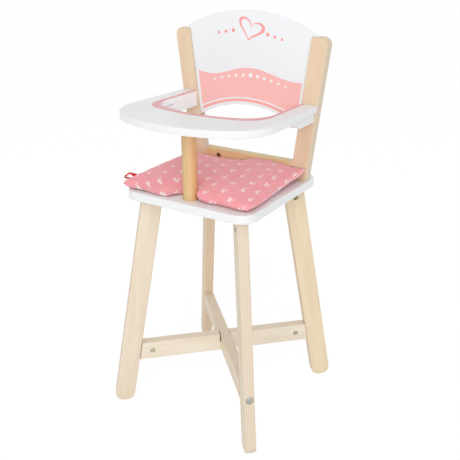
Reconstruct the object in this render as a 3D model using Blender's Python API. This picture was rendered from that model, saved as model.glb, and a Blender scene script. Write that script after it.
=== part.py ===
"""A wooden doll high chair: four splayed legs braced by a halved cross, a seat board, a grooved
back frame that holds a thin panel, a U-shaped tray on two arms and a round post, and a cushion.

Units are metres and +Z is up. The chair stands on the floor at height zero and faces -Y.
"""
import math

import bmesh
import bpy
from mathutils import Vector

# Fits and cuts shared by every piece
CONTACT_GAP = 0.0003
CUT_OVERRUN = 0.002
WELD_DISTANCE = 0.00001
ARC_STEPS = 6
WIDE_ARC_STEPS = 10
BORE_SIDES = 12
ROUND_SIDES = 16
POST_SIDES = 36

# Seat board
SEAT_UNDERSIDE_HEIGHT = 0.331
SEAT_THICKNESS = 0.012
SEAT_WIDTH = 0.202
SEAT_DEPTH = 0.202
SEAT_CORNER_RADIUS = 0.023
SEAT_EDGE_ROUNDING = 0.0015
SEAT_SETBACK = -0.001

# Legs, measured in the upright plane of each leg
LEG_WIDTH = 0.0288
LEG_THICKNESS = 0.0148
LEG_FOOT_REACH = 0.1609
LEG_TOP_REACH = 0.1019
LEG_FOOT_ROUNDING = 0.0115
LEG_EDGE_ROUNDING = 0.0018

# Stretchers
STRETCHER_HEIGHT = 0.0278
STRETCHER_THICKNESS = 0.0148
STRETCHER_RISE = 0.0702
STRETCHER_EDGE_ROUNDING = 0.0008
STRETCHER_END_GAP = 0.0006
NOTCH_SNUG_GAP = 0.0003
NOTCH_LOOSE_GAP = 0.0018

# Back frame
FRAME_FRONT_SETBACK = 0.0613
FRAME_THICKNESS = 0.015
FRAME_HEIGHT = 0.1985
FRAME_FOOT_WIDTH = 0.1949
FRAME_SPLAY_ANGLE = math.radians(7.2)
POST_WIDTH = 0.02445
RAIL_HEIGHT = 0.0252
RAIL_NUT_SHARE = 0.62
POST_SHOULDER_RADIUS = 0.010
POST_INNER_TOP_RADIUS = 0.002
RAIL_FILLET_RADIUS = 0.0012
FRAME_EDGE_ROUNDING = 0.0010

# Back panel and its grooves
PANEL_THICKNESS = 0.004
PANEL_SETBACK = 0.0036
PANEL_TONGUE = 0.0085
PANEL_CREST_RISE = 0.2273
PANEL_CREST_RADIUS = 0.215
PANEL_ARCH_RISE = 0.0972
PANEL_ARCH_RADIUS = 0.160
PANEL_FOOT_RISE = 0.0730
PANEL_EDGE_ROUNDING = 0.0006
GROOVE_RUN_OUT = 0.0015

# Tray board
TRAY_RISE = 0.0998
TRAY_THICKNESS = 0.010
TRAY_REAR_HALF_WIDTH = 0.1105
TRAY_ARM_FLARE_ANGLE = math.radians(2.2)
TRAY_FRONT_REACH = 0.131
TRAY_FRONT_RADIUS = 0.190
TRAY_CORNER_RADIUS = 0.065
OPENING_HALF_WIDTH = 0.0865
OPENING_FRONT_REACH = 0.0605
OPENING_FRONT_RADIUS = 0.200
OPENING_CORNER_RADIUS = 0.044
TRAY_EDGE_ROUNDING = 0.0012

# Cheeks under the tray arms
CHEEK_WIDTH = 0.0205
CHEEK_HEIGHT = 0.0128
CHEEK_TOP_LENGTH = 0.073
CHEEK_BOTTOM_LENGTH = 0.041
CHEEK_NOSE_RADIUS = 0.008
CHEEK_EDGE_ROUNDING = 0.0008

# Crotch post
CROTCH_POST_DIAMETER = 0.0196
CROTCH_POST_REACH = 0.081
CROTCH_POST_CHAMFER = 0.0006
SOCKET_DEPTH = 0.004
POST_SCREW_DIAMETER = 0.004
POST_SCREW_HEAD_DIAMETER = 0.008
POST_SCREW_LENGTH = 0.030

# Bolts, barrel nuts and inserts
BOLT_DIAMETER = 0.005
BOLT_HEAD_DIAMETER = 0.010
BOLT_HEAD_HEIGHT = 0.003
BOLT_HEAD_ROUNDING = 0.0010
BOLT_TIP_CHAMFER = 0.0005
HEAD_RECESS_DEPTH = 0.0034
KEY_WIDTH = 0.003
KEY_DEPTH = 0.0018
BOLT_PAST_NUT = 0.0015
BARREL_DIAMETER = 0.007
BARREL_LENGTH = 0.0115
BARREL_CHAMFER = 0.0004
BARREL_SETBACK = 0.0174
BARREL_SLOT_WIDTH = 0.0012
BARREL_SLOT_DEPTH = 0.0010
FRAME_BOLT_SPACING = 0.098
TRAY_BOLT_SPACING = 0.197
INSERT_DIAMETER = 0.008
INSERT_LENGTH = 0.012
TRAY_BOLT_LENGTH = 0.0215

# Cushion
CUSHION_WIDTH = 0.203
CUSHION_SHIFT = -0.0045
CUSHION_FRONT_REACH = 0.0940
CUSHION_SEAM_HEIGHT = 0.0050
LEFT_CROWN_HEIGHT = 0.0195
RIGHT_CROWN_HEIGHT = 0.0210
HALVES_BLEND = 0.016
SIDE_PUFF_REACH = 0.034
FRONT_PUFF_REACH = 0.040
BACK_PUFF_REACH = 0.034
SLIT_PUFF_REACH = 0.058
CUSHION_UNDER_REACH = 0.008
CUSHION_SIDE_DRAW = 0.005
CUSHION_FRONT_DRAW = 0.003
LEFT_BACK_LIFT = 0.0120
RIGHT_BACK_LIFT = 0.0168
CUSHION_BACK_CURL = 0.044
BACK_CORNER_DROP_SHARE = 0.36
LEFT_LOBE_ROUNDING = 0.004
RIGHT_LOBE_ROUNDING = 0.012
LOBE_CORNER_SHARE = 0.25
SLIT_DEPTH = 0.030
SLIT_LEFT_REACH = 0.030
SLIT_RIGHT_REACH = 0.015
SLIT_END_LIFT = 0.006
SLIT_END_SPREAD = 0.020
BACK_NOTCH_DEPTH = 0.003
BACK_NOTCH_HALF_WIDTH = 0.010
LOBE_COLUMNS = 10
SLIT_ROWS = 6
FIELD_ROWS = 12

# Ribbon tag in the cushion's side seam
TAG_WIDTH = 0.014
TAG_LENGTH = 0.015
TAG_THICKNESS = 0.0006
TAG_OPENING = 0.0055
TAG_PEAK_SHARE = 0.8
TAG_WINDOW_SHARE = 0.35
TAG_SETBACK = 0.028

# Heights and places that follow from the sizes above
SEAT_TOP = SEAT_UNDERSIDE_HEIGHT + SEAT_THICKNESS
LEG_TOP = SEAT_UNDERSIDE_HEIGHT - CONTACT_GAP
LEG_SLOPE = (LEG_FOOT_REACH - LEG_TOP_REACH) / LEG_TOP
LEG_LEAN = math.atan(LEG_SLOPE)
LEG_HALF_CUT = LEG_WIDTH / 2 / math.cos(LEG_LEAN)
STRETCHER_TOP = STRETCHER_RISE + STRETCHER_HEIGHT
STRETCHER_AXIS = STRETCHER_RISE + STRETCHER_HEIGHT / 2
FRAME_SLOPE = math.tan(FRAME_SPLAY_ANGLE)
POST_HALF_CUT = POST_WIDTH / 2 / math.cos(FRAME_SPLAY_ANGLE)
POST_CENTRE_AT_SEAT = FRAME_FOOT_WIDTH / 2 - POST_HALF_CUT
FRAME_FOOT = SEAT_TOP + CONTACT_GAP
RAIL_NUT_RISE = RAIL_HEIGHT * RAIL_NUT_SHARE
FRAME_MIDDLE = FRAME_FRONT_SETBACK + FRAME_THICKNESS / 2
FRAME_REAR = FRAME_FRONT_SETBACK + FRAME_THICKNESS
TRAY_UNDERSIDE = SEAT_TOP + TRAY_RISE
TRAY_ARM_END = FRAME_FRONT_SETBACK - CONTACT_GAP
CHEEK_UNDERSIDE = TRAY_UNDERSIDE - CONTACT_GAP - CHEEK_HEIGHT
TRAY_BOLT_HEIGHT = CHEEK_UNDERSIDE + CHEEK_HEIGHT / 2
BORE_RADIUS = BOLT_DIAMETER / 2 + CONTACT_GAP
HEAD_BORE_RADIUS = BOLT_HEAD_DIAMETER / 2 + CONTACT_GAP
BARREL_BORE_RADIUS = BARREL_DIAMETER / 2 + CONTACT_GAP
POST_RADIUS = CROTCH_POST_DIAMETER / 2
CORNERS = {
    "front_left": math.radians(225),
    "front_right": math.radians(315),
    "back_left": math.radians(135),
    "back_right": math.radians(45),
}
SIDES = {"left": -1, "right": 1}

# Finishes: colour, roughness, metallic
FINISHES = {
    "birch": ((0.84, 0.70, 0.50, 1), 0.55, 0),
    "beech": ((0.79, 0.58, 0.35, 1), 0.50, 0),
    "white lacquer": ((0.90, 0.90, 0.91, 1), 0.35, 0),
    "pink and white print": ((0.90, 0.72, 0.71, 1), 0.40, 0),
    "pink cotton": ((0.80, 0.33, 0.38, 1), 0.90, 0),
    "red ribbon": ((0.70, 0.02, 0.02, 1), 0.60, 0),
    "zinc": ((0.62, 0.63, 0.64, 1), 0.32, 1),
}


def clear_scene():
    for thing in list(bpy.data.objects):
        bpy.data.objects.remove(thing, do_unlink=True)


# Tools for every piece

def empty(name, location, rotation, parent=None):
    """A frame that carries other pieces."""
    frame = bpy.data.objects.new(name, None)
    bpy.context.scene.collection.objects.link(frame)
    frame.location = location
    frame.rotation_euler = rotation
    frame.parent = parent
    return frame


def solid(name, mesh, parent=None, location=(0, 0, 0), rotation=(0, 0, 0)):
    """An object from finished mesh geometry, with smooth shading and crisp edges."""
    bmesh.ops.recalc_face_normals(mesh, faces=mesh.faces)
    data = bpy.data.meshes.new(name)
    mesh.to_mesh(data)
    mesh.free()
    data.shade_smooth()
    data.set_sharp_from_angle(angle=math.radians(35))
    piece = bpy.data.objects.new(name, data)
    bpy.context.scene.collection.objects.link(piece)
    piece.parent = parent
    piece.location = location
    piece.rotation_euler = rotation
    return piece


def finish(piece, kind):
    """Gives the piece its own material in one of the chair's finishes."""
    color, roughness, metallic = FINISHES[kind]
    material = bpy.data.materials.new(f"{piece.name} {kind}")
    material.use_nodes = True
    shader = material.node_tree.nodes["Principled BSDF"]
    shader.inputs["Base Color"].default_value = color
    shader.inputs["Roughness"].default_value = roughness
    shader.inputs["Metallic"].default_value = metallic
    material.diffuse_color = color
    piece.data.materials.append(material)
    return piece


def cut(piece, cutter):
    """Takes the cutter's shape out of the piece."""
    cutter.parent = piece
    cutter.hide_render = True
    cutter.display_type = "WIRE"
    knife = piece.modifiers.new(cutter.name, "BOOLEAN")
    knife.operation = "DIFFERENCE"
    knife.solver = "EXACT"
    knife.object = cutter


def rounded(corners, steps=ARC_STEPS):
    """An outline through (x, y, radius) corners, with a tangent arc at each radius."""
    outline = []
    for index, (x, y, radius) in enumerate(corners):
        here = Vector((x, y))
        if radius == 0:
            outline.append(here)
            continue
        before = (Vector(corners[index - 1][:2]) - here).normalized()
        after = (Vector(corners[(index + 1) % len(corners)][:2]) - here).normalized()
        half = before.angle(after) / 2
        centre = here + (before + after).normalized() * (radius / math.sin(half))
        start = here + before * (radius / math.tan(half)) - centre
        turn = math.pi - 2 * half
        if before.cross(after) > 0:
            turn = -turn
        for step in range(steps + 1):
            angle = turn * step / steps
            swing = Vector((
                start.x * math.cos(angle) - start.y * math.sin(angle),
                start.x * math.sin(angle) + start.y * math.cos(angle),
            ))
            outline.append(centre + swing)
    return outline


def arc(centre, radius, start, end, steps):
    """Points along an arc, both ends included."""
    angles = [start + (end - start) * step / steps for step in range(steps + 1)]
    return [
        Vector((centre[0] + radius * math.cos(a), centre[1] + radius * math.sin(a)))
        for a in angles
    ]


def board_mesh(outline, thickness, rounding=0, stays_square=None):
    """A board of this outline, centred on its thickness, with its two rims rounded over."""
    mesh = bmesh.new()
    rim = [mesh.verts.new((point[0], point[1], -thickness / 2)) for point in outline]
    face = mesh.faces.new(rim)
    grown = bmesh.ops.extrude_face_region(mesh, geom=[face])["geom"]
    lifted = [item for item in grown if isinstance(item, bmesh.types.BMVert)]
    bmesh.ops.translate(mesh, verts=lifted, vec=(0, 0, thickness))
    if rounding:
        edges = []
        for edge in mesh.edges:
            ends = [vert.co for vert in edge.verts]
            across = abs(ends[0].z - ends[1].z) > thickness / 2
            if across or (stays_square and stays_square(*ends)):
                continue
            edges.append(edge)
        bmesh.ops.bevel(
            mesh, geom=edges, offset=rounding, offset_type="OFFSET", segments=2,
            profile=0.5, affect="EDGES", clamp_overlap=True,
        )
    return mesh


def turned_mesh(profile, sides):
    """A solid of revolution about Z, from (radius, height) points that start and end on the axis."""
    mesh = bmesh.new()
    points = [mesh.verts.new((radius, 0, height)) for radius, height in profile]
    lines = [mesh.edges.new(pair) for pair in zip(points, points[1:])]
    bmesh.ops.spin(
        mesh, geom=points + lines, cent=(0, 0, 0), axis=(0, 0, 1),
        angle=2 * math.pi, steps=sides, use_merge=True,
    )
    bmesh.ops.remove_doubles(mesh, verts=mesh.verts, dist=WELD_DISTANCE)
    return mesh


def toward(direction):
    """The rotation that points a piece's own +Z along the direction."""
    return Vector(direction).to_track_quat("Z", "Y").to_euler()


def drill(piece, name, mouth, inward, depth, radius, sides=BORE_SIDES):
    """A blind round hole from its mouth on the piece's surface."""
    profile = [(0, -depth), (radius, -depth), (radius, CUT_OVERRUN), (0, CUT_OVERRUN)]
    cutter = solid(f"{name}_cutter", turned_mesh(profile, sides), piece, mouth, toward(-Vector(inward)))
    cut(piece, cutter)


def drill_for_bolt(piece, name, mouth, inward, depth):
    """A bolt's through hole with a flat-bottomed recess for its head."""
    profile = [
        (0, -depth), (BORE_RADIUS, -depth), (BORE_RADIUS, -HEAD_RECESS_DEPTH),
        (HEAD_BORE_RADIUS, -HEAD_RECESS_DEPTH), (HEAD_BORE_RADIUS, CUT_OVERRUN), (0, CUT_OVERRUN),
    ]
    cutter = solid(
        f"{name}_cutter", turned_mesh(profile, ROUND_SIDES), piece, mouth, toward(-Vector(inward))
    )
    cut(piece, cutter)


# Hardware

def bolt(name, parent, seat, inward, length):
    """A socket-head bolt whose head rests at the seat and whose shank runs inward."""
    shank = BOLT_DIAMETER / 2
    head = BOLT_HEAD_DIAMETER / 2
    tip = BOLT_TIP_CHAMFER
    profile = [(0, -length), (shank - tip, -length), (shank, tip - length), (shank, 0), (head, 0)]
    profile += arc(
        (head - BOLT_HEAD_ROUNDING, BOLT_HEAD_HEIGHT - BOLT_HEAD_ROUNDING), BOLT_HEAD_ROUNDING,
        0, math.pi / 2, 3,
    )
    profile.append((0, BOLT_HEAD_HEIGHT))
    outward = -Vector(inward)
    location = Vector(seat) + outward * CONTACT_GAP
    piece = solid(name, turned_mesh(profile, ROUND_SIDES), parent, location, toward(outward))
    socket = KEY_WIDTH / 2 / math.cos(math.pi / 6)
    hexagon = [
        (0, BOLT_HEAD_HEIGHT - KEY_DEPTH), (socket, BOLT_HEAD_HEIGHT - KEY_DEPTH),
        (socket, BOLT_HEAD_HEIGHT + CUT_OVERRUN), (0, BOLT_HEAD_HEIGHT + CUT_OVERRUN),
    ]
    cut(piece, solid(f"{name}_key_cutter", turned_mesh(hexagon, 6)))
    return finish(piece, "zinc")


def barrel_nut(name, parent, face_point, outward, bolt_line, board_thickness):
    """A cross dowel in a blind hole, with its cross bore on the bolt's line."""
    radius = BARREL_DIAMETER / 2
    profile = [
        (0, -BARREL_LENGTH), (radius - BARREL_CHAMFER, -BARREL_LENGTH),
        (radius, -BARREL_LENGTH + BARREL_CHAMFER), (radius, -BARREL_CHAMFER),
        (radius - BARREL_CHAMFER, 0), (0, 0),
    ]
    outward = Vector(outward)
    location = Vector(face_point) - outward * CONTACT_GAP
    piece = solid(name, turned_mesh(profile, ROUND_SIDES), parent, location, toward(outward))
    across = toward(outward).to_matrix().inverted() @ Vector(bolt_line)
    bore_height = CONTACT_GAP - board_thickness / 2
    reach = radius + CUT_OVERRUN
    bore = [(0, -reach), (BORE_RADIUS, -reach), (BORE_RADIUS, reach), (0, reach)]
    cut(piece, solid(
        f"{name}_bore_cutter", turned_mesh(bore, BORE_SIDES), None, (0, 0, bore_height), toward(across)
    ))
    slot_outline = [
        (-reach, -BARREL_SLOT_WIDTH / 2), (reach, -BARREL_SLOT_WIDTH / 2),
        (reach, BARREL_SLOT_WIDTH / 2), (-reach, BARREL_SLOT_WIDTH / 2),
    ]
    slot_height = CUT_OVERRUN + BARREL_SLOT_DEPTH
    cut(piece, solid(
        f"{name}_slot_cutter", board_mesh(slot_outline, slot_height), None,
        (0, 0, slot_height / 2 - BARREL_SLOT_DEPTH), (0, 0, math.atan2(across.y, across.x)),
    ))
    return finish(piece, "zinc")


def barrel_hole(piece, name, face_point, outward):
    """The blind hole that a barrel nut is pushed into."""
    depth = BARREL_LENGTH + 2 * CONTACT_GAP
    drill(piece, name, face_point, -Vector(outward), depth, BARREL_BORE_RADIUS, ROUND_SIDES)


# Legs

def leg_line(height, side=0):
    """How far out a leg is at a height: side 1 is its outer edge and -1 its inner edge."""
    return LEG_FOOT_REACH - LEG_SLOPE * height + side * LEG_HALF_CUT


def leg(name, stand):
    """One leg in its own upright plane: X runs outward and Y upward."""
    outline = rounded([
        (leg_line(0, -1), 0, LEG_FOOT_ROUNDING),
        (leg_line(0, 1), 0, LEG_FOOT_ROUNDING),
        (leg_line(LEG_TOP, 1), LEG_TOP, 0),
        (leg_line(LEG_TOP, -1), LEG_TOP, 0),
    ])
    at_top = LEG_TOP - CONTACT_GAP
    mesh = board_mesh(
        outline, LEG_THICKNESS, LEG_EDGE_ROUNDING, lambda a, b: a.y > at_top and b.y > at_top
    )
    piece = finish(solid(f"{name}_leg", mesh, stand), "birch")
    face = LEG_THICKNESS / 2

    nut_height = LEG_TOP - BARREL_SETBACK
    nut_reach = leg_line(nut_height)
    nut_point = (nut_reach, nut_height, face)
    bore_depth = BARREL_SETBACK + BARREL_DIAMETER / 2 + BOLT_PAST_NUT + CONTACT_GAP
    drill(piece, f"{name}_leg_bore", (nut_reach, LEG_TOP, 0), (0, -1, 0), bore_depth, BORE_RADIUS)
    barrel_hole(piece, f"{name}_leg_nut", nut_point, (0, 0, 1))
    barrel_nut(f"{name}_leg_nut", stand, nut_point, (0, 0, 1), (0, 1, 0), LEG_THICKNESS)
    head_seat = SEAT_TOP - HEAD_RECESS_DEPTH
    length = head_seat - nut_height + BARREL_DIAMETER / 2 + BOLT_PAST_NUT
    bolt(f"{name}_leg_bolt", stand, (nut_reach, head_seat, 0), (0, -1, 0), length)

    mouth = leg_line(STRETCHER_AXIS, 1)
    through = 2 * LEG_HALF_CUT + CUT_OVERRUN
    drill_for_bolt(piece, f"{name}_stretcher_bore", (mouth, STRETCHER_AXIS, 0), (-1, 0, 0), through)
    head_seat = mouth - HEAD_RECESS_DEPTH
    length = head_seat - stretcher_nut_reach() + BARREL_DIAMETER / 2 + BOLT_PAST_NUT
    bolt(f"{name}_stretcher_bolt", stand, (head_seat, STRETCHER_AXIS, 0), (-1, 0, 0), length)
    return piece


# Stretchers

def stretcher_end(height):
    return leg_line(height, -1) - STRETCHER_END_GAP


def stretcher_nut_reach():
    return stretcher_end(STRETCHER_AXIS) - BARREL_SETBACK


def stretcher(name, stand, ends, notch_on_top, nut_side):
    """A bar through the middle, halved where it crosses the other: X along it, Y upward."""
    low = stretcher_end(STRETCHER_RISE)
    high = stretcher_end(STRETCHER_TOP)
    snug = STRETCHER_THICKNESS / 2 + NOTCH_SNUG_GAP
    loose = -STRETCHER_THICKNESS / 2 - NOTCH_LOOSE_GAP
    notch_level = STRETCHER_AXIS - CONTACT_GAP / 2 if notch_on_top else STRETCHER_AXIS + CONTACT_GAP / 2
    if notch_on_top:
        outline = [
            (-low, STRETCHER_RISE), (low, STRETCHER_RISE), (high, STRETCHER_TOP),
            (snug, STRETCHER_TOP), (snug, notch_level),
            (loose, notch_level), (loose, STRETCHER_TOP), (-high, STRETCHER_TOP),
        ]
    else:
        outline = [
            (-low, STRETCHER_RISE), (loose, STRETCHER_RISE), (loose, notch_level),
            (snug, notch_level), (snug, STRETCHER_RISE), (low, STRETCHER_RISE),
            (high, STRETCHER_TOP), (-high, STRETCHER_TOP),
        ]

    def stays_square(a, b):
        """Only the long top and bottom edges are eased, not the ends or the notch."""
        level = abs(a.y - b.y) < WELD_DISTANCE
        on_edge = min(abs(a.y - STRETCHER_RISE), abs(a.y - STRETCHER_TOP)) < WELD_DISTANCE
        return not (level and on_edge)

    mesh = board_mesh(outline, STRETCHER_THICKNESS, STRETCHER_EDGE_ROUNDING, stays_square)
    piece = finish(solid(name, mesh, stand), "birch")
    face = nut_side * STRETCHER_THICKNESS / 2
    for end, side in ends.items():
        point = (side * stretcher_nut_reach(), STRETCHER_AXIS, face)
        mouth = (side * stretcher_end(STRETCHER_AXIS), STRETCHER_AXIS, 0)
        depth = BARREL_SETBACK + BARREL_DIAMETER / 2 + BOLT_PAST_NUT + CONTACT_GAP
        drill(piece, f"{end}_stretcher_bore", mouth, (-side, 0, 0), depth, BORE_RADIUS)
        barrel_hole(piece, f"{end}_stretcher_nut", point, (0, 0, nut_side))
        barrel_nut(
            f"{end}_stretcher_nut", stand, point, (0, 0, nut_side), (side, 0, 0), STRETCHER_THICKNESS
        )
    return piece


# Seat

def seat_board(chair):
    half_width = SEAT_WIDTH / 2
    front = SEAT_SETBACK - SEAT_DEPTH / 2
    back = SEAT_SETBACK + SEAT_DEPTH / 2
    outline = rounded([
        (-half_width, front, SEAT_CORNER_RADIUS), (half_width, front, SEAT_CORNER_RADIUS),
        (half_width, back, SEAT_CORNER_RADIUS), (-half_width, back, SEAT_CORNER_RADIUS),
    ], WIDE_ARC_STEPS)
    mesh = board_mesh(outline, SEAT_THICKNESS, SEAT_EDGE_ROUNDING)
    middle = SEAT_UNDERSIDE_HEIGHT + SEAT_THICKNESS / 2
    piece = finish(solid("seat_board", mesh, chair, (0, 0, middle)), "white lacquer")
    top = SEAT_THICKNESS / 2
    through = SEAT_THICKNESS + CUT_OVERRUN
    reach = leg_line(LEG_TOP - BARREL_SETBACK)
    for name, azimuth in CORNERS.items():
        mouth = (reach * math.cos(azimuth), reach * math.sin(azimuth), top)
        drill_for_bolt(piece, f"{name}_seat_bore", mouth, (0, 0, -1), through)
    for name, side in SIDES.items():
        mouth = (side * FRAME_BOLT_SPACING / 2, FRAME_MIDDLE, -top)
        drill_for_bolt(piece, f"frame_{name}_seat_bore", mouth, (0, 0, 1), through)
    post_place = (0, -CROTCH_POST_REACH)
    drill(
        piece, "post_seat_socket", (*post_place, top), (0, 0, -1), SOCKET_DEPTH,
        POST_RADIUS + CONTACT_GAP, POST_SIDES,
    )
    countersink(piece, "post_screw_seat_bore", (*post_place, -top), through)
    return piece


def countersink(piece, name, mouth, depth):
    """A screw hole from below, with a cone for the screw's flat head."""
    shank = POST_SCREW_DIAMETER / 2 + CONTACT_GAP
    head = POST_SCREW_HEAD_DIAMETER / 2 + CONTACT_GAP
    rim = -2 * CONTACT_GAP
    profile = [
        (0, -depth), (shank, -depth), (shank, rim + shank - head), (head, rim),
        (head, CUT_OVERRUN), (0, CUT_OVERRUN),
    ]
    cutter = solid(f"{name}_cutter", turned_mesh(profile, ROUND_SIDES), piece, mouth, toward((0, 0, -1)))
    cut(piece, cutter)


# Crotch post

def crotch_post(chair):
    """A dowel that stands in a shallow socket in the seat and one in the tray."""
    foot = SEAT_TOP - SOCKET_DEPTH + CONTACT_GAP
    length = TRAY_UNDERSIDE + SOCKET_DEPTH - CONTACT_GAP - foot
    slim = POST_RADIUS - CROTCH_POST_CHAMFER
    profile = [
        (0, 0), (slim, 0), (POST_RADIUS, CROTCH_POST_CHAMFER),
        (POST_RADIUS, length - CROTCH_POST_CHAMFER), (slim, length), (0, length),
    ]
    place = (0, -CROTCH_POST_REACH, foot)
    piece = finish(solid("crotch_post", turned_mesh(profile, POST_SIDES), chair, place), "beech")
    tip = SEAT_UNDERSIDE_HEIGHT + CONTACT_GAP + POST_SCREW_LENGTH
    pilot = tip - foot + CONTACT_GAP
    drill(piece, "post_pilot", (0, 0, 0), (0, 0, 1), pilot, POST_SCREW_DIAMETER / 2 + CONTACT_GAP)
    return piece


def crotch_post_screw(chair):
    shank = POST_SCREW_DIAMETER / 2
    head = POST_SCREW_HEAD_DIAMETER / 2
    profile = [
        (0, 0), (head, 0), (shank, head - shank), (shank, POST_SCREW_LENGTH - 2 * shank),
        (0, POST_SCREW_LENGTH),
    ]
    place = (0, -CROTCH_POST_REACH, SEAT_UNDERSIDE_HEIGHT + CONTACT_GAP)
    return finish(solid("crotch_post_screw", turned_mesh(profile, BORE_SIDES), chair, place), "zinc")


# Back frame and panel

def post_line(rise, side=0):
    """Half the distance between the posts at a rise above the seat, at their inner or outer edge."""
    return POST_CENTRE_AT_SEAT + FRAME_SLOPE * rise + side * POST_HALF_CUT


def mirrored(half):
    """A closed outline from its right half, which starts and ends on or beside the middle."""
    left = [Vector((-point[0], point[1])) for point in reversed(half) if point[0] > WELD_DISTANCE]
    return list(half) + left


def back_frame(chair):
    """The U of two splayed posts and a bottom rail, cut from one plywood board: X across, Y upward."""
    right = [
        (post_line(0, 1), 0, 0),
        (post_line(FRAME_HEIGHT, 1), FRAME_HEIGHT, POST_SHOULDER_RADIUS),
        (post_line(FRAME_HEIGHT, -1), FRAME_HEIGHT, POST_INNER_TOP_RADIUS),
        (post_line(RAIL_HEIGHT, -1), RAIL_HEIGHT, RAIL_FILLET_RADIUS),
    ]
    left = [(-x, y, radius) for x, y, radius in reversed(right)]
    outline = rounded(right + left)
    mesh = board_mesh(
        outline, FRAME_THICKNESS, FRAME_EDGE_ROUNDING,
        lambda a, b: a.y < WELD_DISTANCE and b.y < WELD_DISTANCE,
    )
    upright = (math.pi / 2, 0, 0)
    piece = finish(
        solid("back_frame", mesh, chair, (0, FRAME_MIDDLE, FRAME_FOOT), upright), "birch"
    )
    face = FRAME_THICKNESS / 2
    groove_foot = PANEL_FOOT_RISE - GROOVE_RUN_OUT
    groove_top = FRAME_HEIGHT + CUT_OVERRUN
    groove_depth = PANEL_TONGUE + CONTACT_GAP
    groove_middle = face - PANEL_SETBACK - PANEL_THICKNESS / 2
    for name, side in SIDES.items():
        groove = [
            (side * (post_line(rise, -1) + offset), rise)
            for rise, offset in (
                (groove_foot, -CUT_OVERRUN), (groove_foot, groove_depth),
                (groove_top, groove_depth), (groove_top, -CUT_OVERRUN),
            )
        ]
        groove_mesh = board_mesh(groove, PANEL_THICKNESS + 2 * CONTACT_GAP)
        cut(piece, solid(f"{name}_groove_cutter", groove_mesh, piece, (0, 0, groove_middle)))

        reach = side * FRAME_BOLT_SPACING / 2
        point = (reach, RAIL_NUT_RISE, face)
        depth = RAIL_NUT_RISE + BARREL_DIAMETER / 2 + BOLT_PAST_NUT + CONTACT_GAP
        drill(piece, f"frame_{name}_bore", (reach, 0, 0), (0, 1, 0), depth, BORE_RADIUS)
        barrel_hole(piece, f"frame_{name}_nut", point, (0, 0, 1))
        mouth = (side * TRAY_BOLT_SPACING / 2, TRAY_BOLT_HEIGHT - FRAME_FOOT, -face)
        drill_for_bolt(piece, f"tray_{name}_post_bore", mouth, (0, 0, 1), FRAME_THICKNESS + CUT_OVERRUN)

    for name, side in SIDES.items():
        reach = side * FRAME_BOLT_SPACING / 2
        nut_height = FRAME_FOOT + RAIL_NUT_RISE
        barrel_nut(
            f"frame_{name}_nut", chair, (reach, FRAME_FRONT_SETBACK, nut_height),
            (0, -1, 0), (0, 0, 1), FRAME_THICKNESS,
        )
        head_seat = SEAT_UNDERSIDE_HEIGHT + HEAD_RECESS_DEPTH
        length = nut_height + BARREL_DIAMETER / 2 + BOLT_PAST_NUT - head_seat
        bolt(f"frame_{name}_bolt", chair, (reach, FRAME_MIDDLE, head_seat), (0, 0, 1), length)
    return piece


def back_panel(chair):
    """A thin arched panel whose side tongues slide down the posts' grooves: X across, Y upward."""
    def tongue_edge(rise):
        return post_line(rise, -1) + PANEL_TONGUE

    crest_centre = (0, PANEL_CREST_RISE - PANEL_CREST_RADIUS)
    arch_centre = (0, PANEL_ARCH_RISE - PANEL_ARCH_RADIUS)
    shoulder = PANEL_CREST_RISE
    for _ in range(8):
        shoulder = crest_centre[1] + math.sqrt(PANEL_CREST_RADIUS ** 2 - tongue_edge(shoulder) ** 2)
    foot_reach = math.sqrt(PANEL_ARCH_RADIUS ** 2 - (PANEL_FOOT_RISE - arch_centre[1]) ** 2)
    arch_angle = math.atan2(PANEL_FOOT_RISE - arch_centre[1], foot_reach)
    crest_angle = math.atan2(shoulder - crest_centre[1], tongue_edge(shoulder))
    half = arc(arch_centre, PANEL_ARCH_RADIUS, math.pi / 2, arch_angle, WIDE_ARC_STEPS)
    half.append(Vector((tongue_edge(PANEL_FOOT_RISE), PANEL_FOOT_RISE)))
    half += arc(crest_centre, PANEL_CREST_RADIUS, crest_angle, math.pi / 2, WIDE_ARC_STEPS)
    mesh = board_mesh(mirrored(half), PANEL_THICKNESS, PANEL_EDGE_ROUNDING)
    place = (0, FRAME_FRONT_SETBACK + PANEL_SETBACK + PANEL_THICKNESS / 2, FRAME_FOOT)
    return finish(solid("back_panel", mesh, chair, place, (math.pi / 2, 0, 0)), "pink and white print")


# Tray

def tray_curve(rear_half_width, flare_angle, front_reach, front_radius, corner_radius):
    """The right half of a tray line: down the arm, round the corner and along the bowed front."""
    flare = math.tan(flare_angle)
    front_centre = front_radius - front_reach
    offset = rear_half_width + flare * TRAY_ARM_END - corner_radius / math.cos(flare_angle)
    span = front_radius - corner_radius
    square = 1 + flare ** 2
    middle = offset * flare + front_centre
    rest = offset ** 2 + front_centre ** 2 - span ** 2
    corner_y = (middle - math.sqrt(middle ** 2 - square * rest)) / square
    corner = (offset - flare * corner_y, corner_y)
    turn = math.atan2(corner[1] - front_centre, corner[0])
    half = [Vector((rear_half_width, TRAY_ARM_END))]
    half += arc(corner, corner_radius, flare_angle, turn, WIDE_ARC_STEPS)
    half += arc((0, front_centre), front_radius, turn, -math.pi / 2, WIDE_ARC_STEPS)[1:]
    return half


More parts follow.
